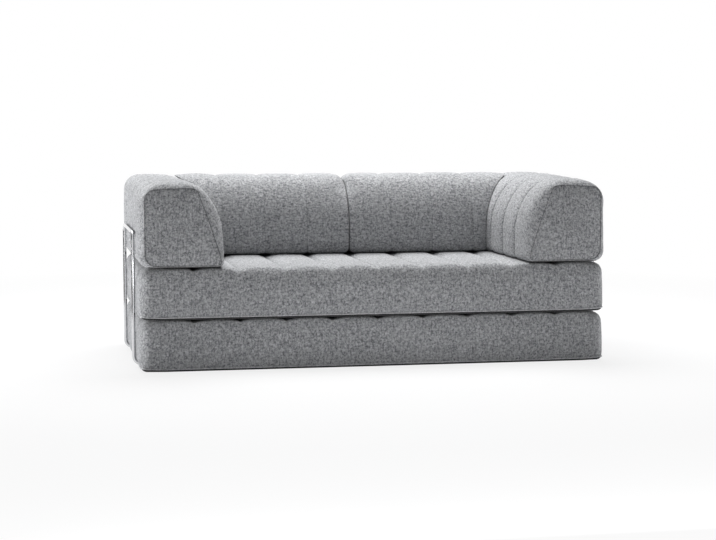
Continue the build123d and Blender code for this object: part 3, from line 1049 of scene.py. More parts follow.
@dataclass
class Mattress(Cushion):
    """A mattress with ten channels from front to back, whose fabric is plain at its sides."""

    level: Level = Level.LOWER
    seam_shift: float = 0.0022
    # Where the cover faces down more steeply than this, it takes the near-black cloth: painted shade for the
    # gap under the mattress
    painted_shade_below: float = -0.5
    half_width: float = 1.0258
    half_depth: float = 0.511
    height: float = 0.218
    top_radius: float = 0.042
    pressed_radius: float = 0.015
    bottom_radius: float = 0.028
    pressed_bottom: float = 0.014
    corner_radius: float = 0.05
    side_bulge: float = 0.004
    crown: float = 0.002
    channel_depth: float = 0.012
    groove_depth: float = 0.003
    corner_seam: float = 0.036
    foot_top: float = 0.0205
    mouth_top: float = 0.031
    foot_half: float = 0.0105
    foot_clear: float = 0.027
    edge_steps: tuple[float, ...] = (0.0, 0.009, 0.017, 0.0245, 0.032, 0.042, 0.055, 0.07)
    foot_steps: tuple[float, ...] = (0.0, 0.006, 0.0105, 0.017, 0.026)
    rises: tuple[float, ...] = (
        0.0, 0.006, 0.011, 0.016, 0.022, 0.034, 0.05, 0.068, 0.086, 0.104, 0.122, 0.14,
        0.156, 0.168, 0.176, 0.184, 0.191, 0.199, 0.208,
    )
    plain_pitch: float = 0.0135
    plain_reach: float = 0.43
    arm_from: float = 0.6
    arm_to: float = 0.68
    end_from: float = 0.92
    end_to: float = 0.99
    side_fade: float = 0.07
    bulge_peak: float = 0.104
    bulge_reach: float = 0.1
    welt_height: float = 0.0125
    zip_height: float = 0.071
    zip_reach: float = 0.898
    spread: float = 0.0025
    front_spread: float = 0.003
    rear_spread: float = 0.0015
    top_limit: float = 0.2202
    held_from: float = 0.02
    held_to: float = 0.05

    def __post_init__(self) -> None:
        """Works out the mattress's middle, front to back, and the feet under its back."""
        self.middle_y = (FRONT_Y + REAR_Y) / 2
        self.back_feet = [-foot for foot in reversed(BACK_FEET)] + list(BACK_FEET)

    def underside(self) -> float:
        """The height of the mattress's underside."""
        return self.level.value

    def stations(self) -> list[np.ndarray]:
        """Where the cover's points stand.

        Returns:
            Their places over its width, its depth and its height.
        """
        def beside(lines: list[float], steps: tuple[float, ...]) -> list[float]:
            """Places at each step to both sides of each line."""
            return [line + sign * step for line in lines for step in steps for sign in (-1, 1)]

        def inside(reach: float, steps: list[float] | tuple[float, ...]) -> list[float]:
            """Places at each step in from both ends of a reach."""
            return [sign * (reach - step) for step in steps for sign in (-1, 1)]

        across = beside([CHANNEL_PITCH * index for index in range(-4, 5)], SEAM_STEPS)
        across += inside(self.half_width, self.edge_steps)
        across += [sign * (0.91 + 0.013 * index) for index in range(4) for sign in (-1, 1)]
        along = inside(self.half_depth, self.edge_steps)
        feet = []
        if self.level is Level.LOWER:
            feet = beside(self.back_feet, self.foot_steps)
            along += beside([foot - self.middle_y for foot in SIDE_FEET], self.foot_steps)
        plain = list(np.arange(-self.plain_reach, self.plain_reach + 0.0001, self.plain_pitch))
        up = np.array(self.rises + (self.height,))
        return [merged(across, feet, 0.0028), merged(along, plain, 0.0075), up]

    def edge_radii(self, across: np.ndarray) -> tuple[np.ndarray, np.ndarray]:
        """The radii of the edges: tight where cushions press on them, wide at the ends.

        Args:
            across: Places over the width.

        Returns:
            The lower edge's radii and the upper edge's.
        """
        beside = np.abs(across)
        pressed = self.pressed_radius
        middle = self.top_radius if self.level is Level.UPPER else pressed
        places = (self.arm_from, self.arm_to, self.end_from, self.end_to)
        top = np.interp(beside, places, (middle, pressed, pressed, self.top_radius))
        return np.interp(beside, places[2:], (self.pressed_bottom, self.bottom_radius)), top

    def rounded(self, flat: np.ndarray) -> tuple[np.ndarray, np.ndarray]:
        """Rounds the edges of a flat-sided box.

        Args:
            flat: Points on the box.

        Returns:
            The points on the rounded box and the outward directions there.
        """
        up = flat[:, 2]
        low_edge, top_edge = self.edge_radii(flat[:, 0])
        low_edge += (self.corner_radius - low_edge) * np.clip(up / self.side_fade, 0.0, 1.0)
        top_edge += (self.corner_radius - top_edge) * np.clip((self.height - up) / self.side_fade, 0.0, 1.0)
        radius = np.where(up < self.height / 2, low_edge, top_edge)
        low = np.column_stack((radius - self.half_width, radius - self.half_depth, radius))
        high = np.column_stack((self.half_width - radius, self.half_depth - radius, self.height - radius))
        inner = np.clip(flat, low, high)
        away = flat - inner
        away /= np.maximum(np.linalg.norm(away, axis=1), 1e-9)[:, None]
        return inner + away * radius[:, None], away

    def seam_away(self, across: np.ndarray) -> np.ndarray:
        """The distance over the width to the nearest channel seam."""
        beside = np.abs(across)
        return np.abs(beside - np.minimum(np.round(beside / CHANNEL_PITCH), 4) * CHANNEL_PITCH)

    def channels(self, across: np.ndarray) -> np.ndarray:
        """How far the top stands over its plain height, given the places over the width."""
        crown = self.crown * (1 - smooth_step(0.93, 1.01, np.abs(across)))
        return crown - quilting(self.seam_away(across), self.channel_depth, self.groove_depth)

    def lifted(self, places: np.ndarray) -> np.ndarray:
        """Lifts the lower mattress's underside over the feet, so that each foot has its own groove.

        Args:
            places: The cover's points.

        Returns:
            The points, with those over a foot lifted.
        """
        if self.level is not Level.LOWER:
            return places
        x, y = places[:, 0], places[:, 1]
        need = np.zeros(len(places))
        tops = (0.0, self.foot_top, self.foot_top, self.mouth_top)
        for feet, beside, along, run in (
            (SIDE_FEET, y, np.abs(x), (0.725, 0.735, 0.985, 1.02)),
            (self.back_feet, x, y, (0.2, 0.211, 0.461, 0.497)),
        ):
            top = np.interp(along, run, tops)
            for foot in feet:
                share = 1 - smooth_step(self.foot_half, self.foot_clear, np.abs(beside - foot))
                need = np.maximum(need, top * share)
        return np.column_stack((x, y, np.maximum(places[:, 2], need)))

    def shaped(self, flat: np.ndarray) -> np.ndarray:
        """Turns a flat-sided box into the cover, before it swells.

        Args:
            flat: Points on the box.

        Returns:
            The cover's points.
        """
        places, away = self.rounded(flat)
        top = np.clip(away[:, 2], 0.0, 1.0) ** 2.4
        places = places + away * (self.channels(flat[:, 0]) * top)[:, None]
        level = np.clip(1 - ((places[:, 2] - self.bulge_peak) / self.bulge_reach) ** 2, 0.0, 1.0)
        flat_away = away * np.array((1.0, 1.0, 0.0))
        places = places + flat_away * (self.side_bulge * level)[:, None]
        places[:, 1] += self.middle_y
        return places

    def skin(self) -> Skin:
        """Makes the cover as a grid of quads on all six sides.

        Returns:
            Its skin.
        """
        stations = self.stations()
        last = [len(places) - 1 for places in stations]
        number: dict[tuple[int, ...], int] = {}
        skin = Skin(np.zeros((0, 3)))
        for fixed, first, second in ((2, 0, 1), (1, 0, 2), (0, 1, 2)):
            for end in (0, last[fixed]):
                for a in range(last[first]):
                    for b in range(last[second]):
                        corners, cloth = [], []
                        for spot in ((a, b), (a + 1, b), (a + 1, b + 1), (a, b + 1)):
                            key = [end] * 3
                            key[first], key[second] = spot
                            corners.append(number.setdefault(tuple(key), len(number)))
                            cloth.append((stations[first][spot[0]], stations[second][spot[1]]))
                        skin.add_face(tuple(corners), tuple(cloth))
        flat = np.array([[stations[axis][spot] for axis, spot in enumerate(key)] for key in number])
        places = self.shaped(flat)
        _, away = self.rounded(flat)
        on_top = self.seam_away(flat[:, 0]) + FAR_FROM_SEAM * smooth_step(0.75, 0.3, away[:, 2])
        corner = np.abs(np.abs(flat[:, 0]) - (MATTRESS_REACH - self.corner_seam))
        corner = corner + FAR_FROM_SEAM * (np.abs(away[:, 1]) < 0.7)
        self.seam_points = np.minimum(np.minimum(on_top, corner), FAR_FROM_SEAM)
        skin.run = np.where(on_top < corner, places[:, 1], places[:, 2])
        places[:, 2] += self.level.value
        skin.points = self.lifted(places)
        # The underside takes the near-black cloth, a painted shade for the gap under the mattress
        skin.seam = np.where(away[:, 2] < self.painted_shade_below, UNDERSIDE_SHADE, self.seam_points + self.seam_shift)
        return skin

    def confined(self, places: np.ndarray) -> np.ndarray:
        """Keeps the cover between the floor or the mattress below and what lies on it.

        Args:
            places: The cover's points.

        Returns:
            The points, kept inside.
        """
        base = self.level.value
        low = (-MATTRESS_REACH - self.spread, FRONT_Y - self.front_spread, base)
        high = (MATTRESS_REACH + self.spread, REAR_Y + self.rear_spread, base + self.top_limit)
        return self.lifted(np.clip(places, low, high))

    def zip_path(self) -> np.ndarray:
        """The line of the zip, low in the rear face.

        Returns:
            Places along it.
        """
        across = np.linspace(-self.zip_reach, self.zip_reach, 500)
        height = np.full(500, self.level.value + self.zip_height)
        return np.column_stack((across, np.full(500, REAR_Y), height))

    def edge_path(self, height: float, count: int = 640) -> np.ndarray:
        """A closed path round the mattress, on the cover's shape.

        Args:
            height: The path's height on the flat sides.
            count: How many places it has.

        Returns:
            The places.
        """
        size = np.array((self.half_width, self.half_depth))
        corners = size * np.array(((-1, -1), (1, -1), (1, 1), (-1, 1), (-1, -1)))
        length = lengths_along(corners)
        where = np.arange(count) / count * length[-1]
        flat = [np.interp(where, length, corners[:, axis]) for axis in range(2)]
        places = self.shaped(np.column_stack((*flat, np.full(count, height))))
        places[:, 2] += self.level.value
        return self.lifted(places)


@dataclass
class Ring:
    """A closed outline at its places along a bolster, with its distance to the nearest seam."""

    outline: np.ndarray
    places: np.ndarray
    seam: float
    on_panel: bool

    def patch(self, following: "Ring", step: int, arc: np.ndarray) -> Cloth:
        """Cloth coordinates of a quad between this ring and the following one.

        Args:
            following: The next ring.
            step: Which quad round the ring.
            arc: The length round the bolster at each of its points.

        Returns:
            The coordinates of its four corners.
        """
        if self.on_panel and following.on_panel:
            after = (step + 1) % len(self.outline)
            spots = ((self, step), (self, after), (following, after), (following, step))
            return tuple(tuple(ring.outline[spot]) for ring, spot in spots)
        low, high = float(self.places[step]), float(following.places[step])
        return ((arc[step], low), (arc[step + 1], low), (arc[step + 1], high), (arc[step], high))


@dataclass
class Bolster(Cushion):
    """A bolster with channels across it and a set-in panel at each end."""

    side: Side = Side.LEFT
    length: float = 1.03
    seams: tuple[float, ...] = (0.215, 0.415, 0.615, 0.815)
    end_rounding: float = 0.032
    end_inset: float = 0.004
    seam_inset: float = 0.008
    groove_depth: float = 0.0028
    panel_shift: float = 0.0
    border_share: float = 1.35
    border_least: float = 0.032
    border_limit: float = 0.09
    border_blur: int = 9
    border_tilt: float = 30.0
    dome_fall: float = 0.012
    dome_start: float = 0.2
    near_panel: Outline = PANEL
    far_panel: Outline = PANEL
    # Up to this height over its underside the cover takes the near-black cloth: painted shade where it meets
    # the seat
    painted_shade_below: float = 0.007
    zip_inset: float = 0.017
    zip_top: float = 0.269
    end_reach: float = 0.09
    end_steps: tuple[float, ...] = (0.008, 0.018, 0.03, 0.045, 0.062)
    border_end_share: float = 0.62
    height_limit: float = 0.815
    tube_clearance: float = 0.0012
    border_angles: tuple[float, ...] = (81.0, 72.0, 64.0, 56.0, 49.0, 42.0, 36.0, 32.0)
    panel_rings: tuple[tuple[float, float], ...] = (
        (1.0, 0.0048), (0.988, 0.0036), (0.965, 0.0018), (0.93, 0.0006), (0.86, -0.0006), (0.76, -0.0014),
        (0.62, -0.0020), (0.46, -0.0024), (0.3, -0.0026), (0.14, -0.0026),
    )

    def inset(self, place: float) -> float:
        """How far the cover is drawn in.

        Args:
            place: A place along the bolster.

        Returns:
            The inset there.
        """
        away = min(abs(place - seam) for seam in self.seams)
        end = min(place, self.length - place) - self.end_rounding
        ended = self.end_inset * max(0.0, 1 - end / self.end_reach) ** 2
        return float(quilting(away, self.seam_inset, self.groove_depth)) + ended

    def stations(self) -> np.ndarray:
        """Where the rings of points stand between the two rounded ends.

        Returns:
            Their places along the bolster.
        """
        low, high = self.end_rounding, self.length - self.end_rounding
        beside = [seam + sign * step for seam in self.seams for step in SEAM_STEPS for sign in (-1, 1)]
        extra = [low + step for step in self.end_steps] + [high - step for step in self.end_steps]
        places = merged([low, high] + beside, extra, 0.006)
        return places[(places >= low - 1e-6) & (places <= high + 1e-6)]

    def end_place(self, height: np.ndarray) -> np.ndarray:
        """Where the far end stands, at each height over the underside."""
        return np.full(len(height), self.length)

    def end_at(self, far: bool, height: np.ndarray, depth: np.ndarray | float = 0.0) -> np.ndarray:
        """Places a depth inside one end.

        Args:
            far: Whether it is the far end.
            height: Heights over the underside.
            depth: How deep the places lie inside the end.

        Returns:
            The places along the bolster.
        """
        return self.end_place(height) - depth if far else np.zeros(len(height)) + depth

    def outer_top(self, place: float) -> float:
        """The radius of the outer top edge at a place along the bolster."""
        return BODY.outer_top

    def section(self, place: float, inset: float) -> np.ndarray:
        """The closed outline at a place along the bolster, drawn in by an inset."""
        return replace(body_outline(inset), outer_top=self.outer_top(place) - inset).ring()

    def end_outlines(self, far: bool) -> tuple[np.ndarray, np.ndarray]:
        """The cover's outline and its panel's, at the far or the near end."""
        panel = self.far_panel if far else self.near_panel
        return self.section(self.length if far else 0.0, self.end_inset), panel.ring()

    def border_depth(self, far: bool) -> np.ndarray:
        """How deep an end's border is round its panel: deeper where it is wider, to roll over evenly.

        Args:
            far: Whether it is the far end.

        Returns:
            The depth at each point of the outline.
        """
        body, panel = self.end_outlines(far)
        wide = self.border_share * np.linalg.norm(body - panel, axis=1)
        wide = np.clip(wide, self.border_least, self.border_limit)
        blur = self.border_blur
        around = np.concatenate((wide[-blur:], wide, wide[:blur]))
        return np.convolve(around, np.ones(blur) / blur, "same")[blur:-blur]

    def fitted(self, depth: np.ndarray, height: np.ndarray) -> np.ndarray:
        """Keeps the far border clear of the last seam, where the end leans in."""
        return np.minimum(depth, (self.end_place(height) - self.seams[-1]) * self.border_end_share)

    def stretched(self, place: float, height: np.ndarray) -> np.ndarray:
        """Draws a ring before the first seam or after the last one to its end's own form.

        Args:
            place: The ring's place along the bolster.
            height: Its points' heights over the underside.

        Returns:
            The places of its points along the bolster.
        """
        first, last = self.seams[0], self.seams[-1]
        if first <= place <= last:
            return np.full(len(height), place)
        depth = self.border_depth(place > last)
        if place < first:
            return depth + (place - self.end_rounding) / (first - self.end_rounding) * (first - depth)
        share = (place - last) / (self.length - self.end_rounding - last)
        return last + share * (self.end_place(height) - self.fitted(depth, height) - last)

    def end_rings(self, far: bool) -> list[Ring]:
        """The rings of one end, from the middle of its panel to the rounding's start.

        Args:
            far: Whether it is the far end.

        Returns:
            Its rings.
        """
        made = []
        body, panel = self.end_outlines(far)
        centre = panel.mean(axis=0)
        radius = float(np.linalg.norm(panel - centre, axis=1).mean())
        for scale, depth in reversed(self.panel_rings):
            outline = centre + scale * (panel - centre)
            gap = (1 - scale) * radius + self.panel_shift
            made.append(Ring(outline, self.end_at(far, outline[:, 1], depth), gap, True))
        border = self.border_depth(far)
        if far:
            border = self.fitted(border, body[:, 1])
        low = math.radians(self.border_tilt)
        for step, degrees in enumerate(reversed(self.border_angles)):
            angle = math.radians(degrees)
            share = (math.sin(angle) - math.sin(low)) / (1 - math.sin(low))
            depth = border * (math.cos(low) - math.cos(angle)) / math.cos(low)
            outline = panel + share * (body - panel)
            made.append(Ring(outline, self.end_at(far, outline[:, 1], depth), 0.006 * (step + 1), False))
        return made

    def rings(self) -> list[Ring]:
        """All the rings.

        Returns:
            The rings from the near panel's middle to the far one's.
        """
        middle = []
        for station in self.stations():
            outline = self.section(station, self.inset(station))
            gap = min(abs(station - line) for line in self.seams)
            middle.append(Ring(outline, self.stretched(station, outline[:, 1]), gap, False))
        return self.end_rings(False) + middle + self.end_rings(True)[::-1]

    def domed(self, outline: np.ndarray, place: np.ndarray) -> np.ndarray:
        """Lets the top fall away gently towards the outer side, near the near end.

        Args:
            outline: A ring's points across the bolster.
            place: Their places along it.

        Returns:
            The lowered points.
        """
        fall = self.dome_fall * np.clip((self.dome_start - outline[:, 0]) / self.dome_start, 0.0, 1.0) ** 2
        fall = fall * smooth_step(0.2, 0.33, outline[:, 1]) * smooth_step(0.55, 0.1, place)
        return outline - np.column_stack((np.zeros(len(outline)), fall))

    def laid(self, outline: np.ndarray, place: np.ndarray) -> np.ndarray:
        """Puts a ring's points, given across and along the bolster, into the whole object's frame."""
        raise NotImplementedError

    def skin(self) -> Skin:
        """Makes the cover as rings of quads, closed by a fan at the middle of each end panel.

        Returns:
            Its skin.
        """
        rings = self.rings()
        count = len(rings[0].outline)
        rows = [self.laid(self.domed(ring.outline, ring.places), ring.places) for ring in rings]
        middles = [row.mean(axis=0)[None, :] for row in (rows[0], rows[-1])]
        skin = Skin(np.vstack(rows + middles))
        arc = lengths_along(np.vstack((BODY.ring(), BODY.ring()[:1])))
        for index, (ring, following) in enumerate(zip(rings, rings[1:])):
            skin.add_band(index, index + 1, count, lambda step: ring.patch(following, step, arc))
        outline = rings[0].outline
        core = tuple(outline.mean(axis=0))
        for row, middle in ((0, len(skin.points) - 2), (len(rings) - 1, len(skin.points) - 1)):
            for step in range(count):
                after = (step + 1) % count
                cloth = (tuple(outline[step]), tuple(outline[after]), core)
                skin.add_face((row * count + step, row * count + after, middle), cloth)
        seams = np.repeat([min(ring.seam, FAR_FROM_SEAM) for ring in rings], count)
        self.seam_points = np.concatenate([seams, [FAR_FROM_SEAM] * 2])
        skin.run = np.concatenate([np.tile(arc[:-1], len(rings)), [0.0, 0.0]])
        # The underside takes the near-black cloth, a painted shade where the bolster meets the seat
        under = np.concatenate([ring.outline[:, 1] < self.painted_shade_below for ring in rings] + [[False] * 2])
        skin.seam = np.where(under, UNDERSIDE_SHADE, self.seam_points + self.seam_shift)
        return skin

    def zip_path(self, far: bool) -> np.ndarray:
        """The line of the zip round the lower three sides of an end panel.

        Args:
            far: Whether it is at the far end.

        Returns:
            Places near the panel.
        """
        _, ring = self.end_outlines(far)
        ahead = np.roll(ring, -1, axis=0) - np.roll(ring, 1, axis=0)
        inward = np.column_stack((-ahead[:, 1], ahead[:, 0])) / np.linalg.norm(ahead, axis=1)[:, None]
        inset = ring + inward * self.zip_inset
        start = int(np.argmax(inset[:, 1]))
        inset = np.roll(inset, -start, axis=0)
        inset = inset[inset[:, 1] < self.zip_top]
        return self.laid(inset, self.end_at(far, inset[:, 1]))

    def confined(self, places: np.ndarray) -> np.ndarray:
        """Keeps the cover on top of the mattress."""
        places[:, 2] = np.clip(places[:, 2], SEAT_Z, self.height_limit)
        return places


@dataclass
class ArmBolster(Bolster):
    """A bolster along one side of the seat."""

    seam_shift: float = -0.0013
    panel_shift: float = 0.0025
    groove_depth: float = 0.0038
    rear_outer_top: float = 0.062

    def outer_top(self, place: float) -> float:
        """The outer top edge is rounder at the front than at the rear."""
        return float(np.interp(place, (0.1, 0.75), (BODY.outer_top, self.rear_outer_top)))

    def laid(self, outline: np.ndarray, place: np.ndarray) -> np.ndarray:
        """Puts a ring at this arm's side of the seat."""
        across = self.side.value * (OUTER_X - outline[:, 0])
        return np.column_stack((across, FRONT_Y + place, SEAT_Z + outline[:, 1]))

    def confined(self, places: np.ndarray) -> np.ndarray:
        """Keeps the cover off the tube beside it too.

        Args:
            places: The cover's points.

        Returns:
            The points, kept inside.
        """
        places = super().confined(places)
        reach = OUTER_X + self.tube_clearance
        places[:, 0] = np.clip(places[:, 0], -reach, reach)
        return places


@dataclass
class BackBolster(Bolster):
    """A bolster along half of the back, its outer end cut to the arm's curve."""

    length: float = 0.799
    seams: tuple[float, ...] = (0.199, 0.399, 0.599)
    centre_gap: float = 0.001
    arm_clearance: float = 0.0012
    least_gap: float = 0.0008
    end_blend: float = 0.03
    seam_inset: float = 0.006
    groove_depth: float = 0.0012
    seam_shift: float = 0.0026
    end_inset: float = 0.0015
    dome_fall: float = 0.0
    top_radius: float = 0.07
    border_least: float = 0.007
    border_blur: int = 5
    near_panel: Outline = replace(
        body_outline(0.011), top=0.334, shoulder=0.116, bottom=0.022, inner_low=0.012)
    far_panel: Outline = body_outline(0.006)

    def __post_init__(self) -> None:
        """Reads the arm's inner side, from its underside to its top."""
        ring = BODY.ring()
        start, stop = BODY.steps[0], sum(BODY.steps[:5]) + 1
        self.arm_side = ring[start:stop]

    def outer_top(self, place: float) -> float:
        """The rear top edge is tighter than an arm's."""
        return self.top_radius

    def end_place(self, height: np.ndarray) -> np.ndarray:
        """The far end follows the arm's inner side, up to the end of the back's own length.

        Args:
            height: Heights over the underside.

        Returns:
            Where it stands along the bolster at each.
        """
        reach = self.arm_reach(height) - self.arm_clearance - self.centre_gap
        excess = np.clip(self.end_blend - (self.length - reach), 0.0, None)
        return np.minimum(reach - excess**2 / (4 * self.end_blend), self.length)

    def arm_reach(self, height: np.ndarray) -> np.ndarray:
        """How far from the middle the arm's inner side stands, at each height over the seat."""
        return OUTER_X - np.interp(height, self.arm_side[:, 1], self.arm_side[:, 0])

    def laid(self, outline: np.ndarray, place: np.ndarray) -> np.ndarray:
        """Puts a ring at this half of the back."""
        across = self.side.value * (self.centre_gap + place)
        return np.column_stack((across, BACK_FACE_Y - outline[:, 0], SEAT_Z + outline[:, 1]))

    def confined(self, places: np.ndarray) -> np.ndarray:
        """Keeps the cover off the tube behind it, the arm beside it and the other back bolster.

        Args:
            places: The cover's points.

        Returns:
            The points, kept inside.
        """
        places = super().confined(places)
        places[:, 1] = np.clip(places[:, 1], None, BACK_FACE_Y + self.tube_clearance)
        reach = self.arm_reach(places[:, 2] - SEAT_Z) - self.least_gap
        places[:, 0] = self.side.value * np.clip(np.abs(places[:, 0]), self.least_gap, reach)
        return places


@dataclass
class Welt:
    """A thin sewn edge that catches the light, in a lighter cloth that paints a highlight along it."""

    name: str
    body: str
    fabric: bpy.types.Material
    radius: float = 0.0033

    def build(self, path: np.ndarray, cushion: bpy.types.Object) -> bpy.types.Object:
        """Lays the welt along a closed path on a cushion.

        Args:
            path: Places near the cushion's surface.
            cushion: The finished cushion.

        Returns:
            The piece.
        """
        places, away = snapped(path, cushion)
        skin = tube(places + away * self.radius * 0.55, self.radius, 8, closed=True)
        skin.seam = np.full(len(skin.points), FAR_FROM_SEAM)
        skin.run = np.zeros(len(skin.points))
        piece = skin.mesh(self.name)
        piece.data.materials.append(self.fabric)
        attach(piece, self.body)
        log.info("%s: %d points", self.name, len(piece.data.vertices))
        return piece


def plate(centre: np.ndarray, axes: Axes, outline: Cloth, thickness: float) -> Skin:
    """A small plate with softened edges, such as a zip's slider.

    Args:
        centre: The middle of its underside.
        axes: The directions of its length, its width and its thickness.
        outline: Its outline as (length, width) about the centre.
        thickness: How thick it is.

    Returns:
        Its skin.
    """
    rings = []
    for scale, height in ((0.86, 0.0), (1.0, 0.22), (1.0, 0.72), (0.82, 1.0)):
        middle = centre + height * thickness * axes[2]
        rings.append([middle + scale * (a * axes[0] + b * axes[1]) for a, b in outline])
    count = len(outline)
    skin = Skin(np.array(rings).reshape(-1, 3))
    for ring in range(len(rings) - 1):
        skin.add_band(ring, ring + 1, count, lambda step: SMALL_PATCH)
    for base in (0, (len(rings) - 1) * count):
        skin.add_face(tuple(range(base, base + count)), outline)
    return skin


@dataclass
class ZipFastener:
    """A zip with its two tapes, its teeth and its slider with a pull tab, laid on a cover."""

    name: str
    body: str
    tape: bpy.types.Material
    metal: bpy.types.Material
    tooth_pitch: float = 0.0026
    tape_inner: float = 0.0006
    tape_outer: float = 0.0047
    tape_thickness: float = 0.0008
    sink: float = 0.0003
    tooth_size: Triple = (0.0015, 0.0031, 0.0015)
    tooth_rise: float = 0.0011
    tooth_offset: float = 0.0005
    slider_from_end: int = 8
    slider_rise: float = 0.0006
    slider_thickness: float = 0.0031
    pull_rise: float = 0.0036
    pull_thickness: float = 0.0013
    slider_outline:tuple[tuple[float, float], ...] = (
        (-0.0062, -0.0026), (-0.0045, -0.0042), (0.0015, -0.0048), (0.0058, -0.0032),
        (0.0058, 0.0032), (0.0015, 0.0048), (-0.0045, 0.0042), (-0.0062, 0.0026),
    )
    pull_outline: tuple[tuple[float, float], ...] = (
        (-0.002, -0.0018), (0.014, -0.0029), (0.0185, -0.0026), (0.0205, -0.0012),
        (0.0205, 0.0012), (0.0185, 0.0026), (0.014, 0.0029), (-0.002, 0.0018),
    )

    def build(self, path: np.ndarray, cushion: bpy.types.Object, node: str) -> None:
        """Lays the zip along a path on a cushion.

        Args:
            path: Places near the cushion's surface, evenly spaced.
            cushion: The finished cushion.
            node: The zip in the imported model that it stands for.
        """
        length = lengths_along(path)
        where = np.arange(0.0, length[-1], self.tooth_pitch)
        even = np.column_stack([np.interp(where, length, path[:, axis]) for axis in range(3)])
        places, away = snapped(even, cushion)
        window = np.ones(9) / 9
        padded = np.pad(away, ((4, 4), (0, 0)), "edge")
        away = unit(np.column_stack([np.convolve(padded[:, axis], window, "valid") for axis in range(3)]))
        along = unit(np.gradient(places, axis=0))
        across = unit(np.cross(away, along))
        base = places - away * self.sink
        tapes = [self.strip(base, away, across, sign) for sign in (-1.0, 1.0)]
        tape = joined(tapes).mesh(f"{self.name}_tape")
        tape.data.materials.append(self.tape)
        parts = []
        for index in range(len(base)):
            sign = 1.0 if index % 2 else -1.0
            centre = base[index] + away[index] * self.tooth_rise + across[index] * sign * self.tooth_offset
            parts.append(block(centre, (along[index], across[index], away[index]), self.tooth_size))
        spot = len(base) - self.slider_from_end
        axes = (along[spot], across[spot], away[spot])
        start = base[spot] + away[spot] * self.slider_rise
        parts.append(plate(start, axes, self.slider_outline, self.slider_thickness))
        low = np.array((0.0, 0.0, -1.0)) - away[spot] * -away[spot][2]
        low = along[spot] if np.linalg.norm(low) < 0.5 else low / np.linalg.norm(low)
        tab = (low, np.cross(away[spot], low), away[spot])
        start = base[spot] + away[spot] * self.pull_rise
        parts.append(plate(start, tab, self.pull_outline, self.pull_thickness))
        teeth = joined(parts).mesh(f"{self.name}_teeth")
        crisp = teeth.modifiers.new("crisp", "EDGE_SPLIT")
        crisp.split_angle = math.radians(40)
        teeth.data.materials.append(self.metal)
        for piece in (tape, teeth):
            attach(piece, self.body)
        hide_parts(node)
        log.info("%s: %d teeth", self.name, len(base))

    def strip(self, base: np.ndarray, away: np.ndarray, across: np.ndarray, sign: float) -> Skin:
        """One of the two tapes as a thin closed band.

        Args:
            base: Places along the zip, on the cover.
            away: The outward direction at each.
            across: The direction across the zip at each.
            sign: Which side of the teeth the tape lies on.

        Returns:
            Its skin.
        """
        inner, outer = (base + across * sign * reach for reach in (self.tape_inner, self.tape_outer))
        top = away * self.tape_thickness
        count = len(base)
        skin = Skin(np.vstack((inner, outer, outer + top, inner + top)))
        for side in range(4):
            skin.add_band(side, (side + 1) % 4, count, lambda step: SMALL_PATCH, closed=False)
        for step in (0, count - 1):
            skin.add_face(tuple(side * count + step for side in range(4)), ((0.0, 0.0),) * 4)
        return skin


@dataclass
class TubeLoop:
    """A bent chrome tube: two feet, two uprights, a rail and two stand-offs into the bolster."""

    name: str
    body: str
    chrome: bpy.types.Material
    uprights: tuple[float, float]
    foot_z: float = 0.01
    rail_z: float = 0.582
    standoff_z: float = 0.498
    radius: float = 0.008
    bend: float = 0.034
    plane: float = -0.01
    tip: float = 0.29
    standoff_radius: float = 0.007
    standoff_end: float = 0.0317
    weld_rings: tuple[tuple[float, float], ...] = ((0.0068, 0.0089), (0.0078, 0.0083), (0.0087, 0.0077))
    weld_width: float = 0.0012

    def centre_line(self) -> np.ndarray:
        """The tube's centre line, with each bend as a true arc.

        Returns:
            Its points as (u, along, height).
        """
        first, last = self.uprights
        up = [(self.tip, self.foot_z), (self.plane, self.foot_z), (self.plane, self.rail_z)]
        legs = [(first, up), (last, up[::-1])]
        corners = np.array([(u, along, height) for along, leg in legs for u, height in leg])
        points = [corners[0], corners[0] + (corners[1] - corners[0]) * 0.5]
        for before, corner, after in zip(corners, corners[1:], corners[2:]):
            back = (before - corner) / np.linalg.norm(before - corner)
            ahead = (after - corner) / np.linalg.norm(after - corner)
            centre = corner + self.bend * (back + ahead)
            for step in range(13):
                angle = step / 12 * math.pi / 2
                points.append(centre - self.bend * (ahead * math.cos(angle) + back * math.sin(angle)))
            points.append((corner + after) / 2)
        points[-1] = corners[-1]
        return np.array(points)

    def laid(self, points: np.ndarray) -> np.ndarray:
        """Puts (u, along, height) into the whole object's frame."""
        raise NotImplementedError

    def build(self, node: str) -> bpy.types.Object:
        """Builds the loop as one piece.

        Args:
            node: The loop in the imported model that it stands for.

        Returns:
            The piece.
        """
        line = self.centre_line()
        parts = [tube(self.laid(line), self.radius, 28)]
        for place in self.uprights:
            start = np.array((self.plane + self.radius * 0.4, place, self.standoff_z))
            stop = np.array((self.standoff_end, place, self.standoff_z))
            rod = np.array([start, start + (0.004, 0, 0), stop - (0.0015, 0, 0), stop])
            parts.append(tube(self.laid(rod), self.standoff_radius, 24))
            for reach, size in self.weld_rings:
                ring = [(self.plane + u, place, self.standoff_z) for u in (reach - self.weld_width, reach)]
                parts.append(tube(self.laid(np.array(ring)), size, 24))
        piece = joined(parts).mesh(self.name)
        crisp = piece.modifiers.new("crisp", "EDGE_SPLIT")
        crisp.split_angle = math.radians(50)
        piece.data.materials.append(self.chrome)
        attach(piece, self.body)
        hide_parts(node)
        log.info("%s: %d points", self.name, len(piece.data.vertices))
        return piece


@dataclass
class ArmLoop(TubeLoop):
    """The loop beside an arm."""

    side: Side = Side.LEFT

    def laid(self, points: np.ndarray) -> np.ndarray:
        """Puts points at this side of the sofa bed."""
        return np.column_stack((self.side.value * (OUTER_X - points[:, 0]), points[:, 1], points[:, 2]))


@dataclass
class BackLoop(TubeLoop):
    """The loop behind a back bolster."""

    side: Side = Side.LEFT

    def laid(self, points: np.ndarray) -> np.ndarray:
        """Puts points behind this half of the back."""
        return np.column_stack((self.side.value * points[:, 1], BACK_FACE_Y - points[:, 0], points[:, 2]))


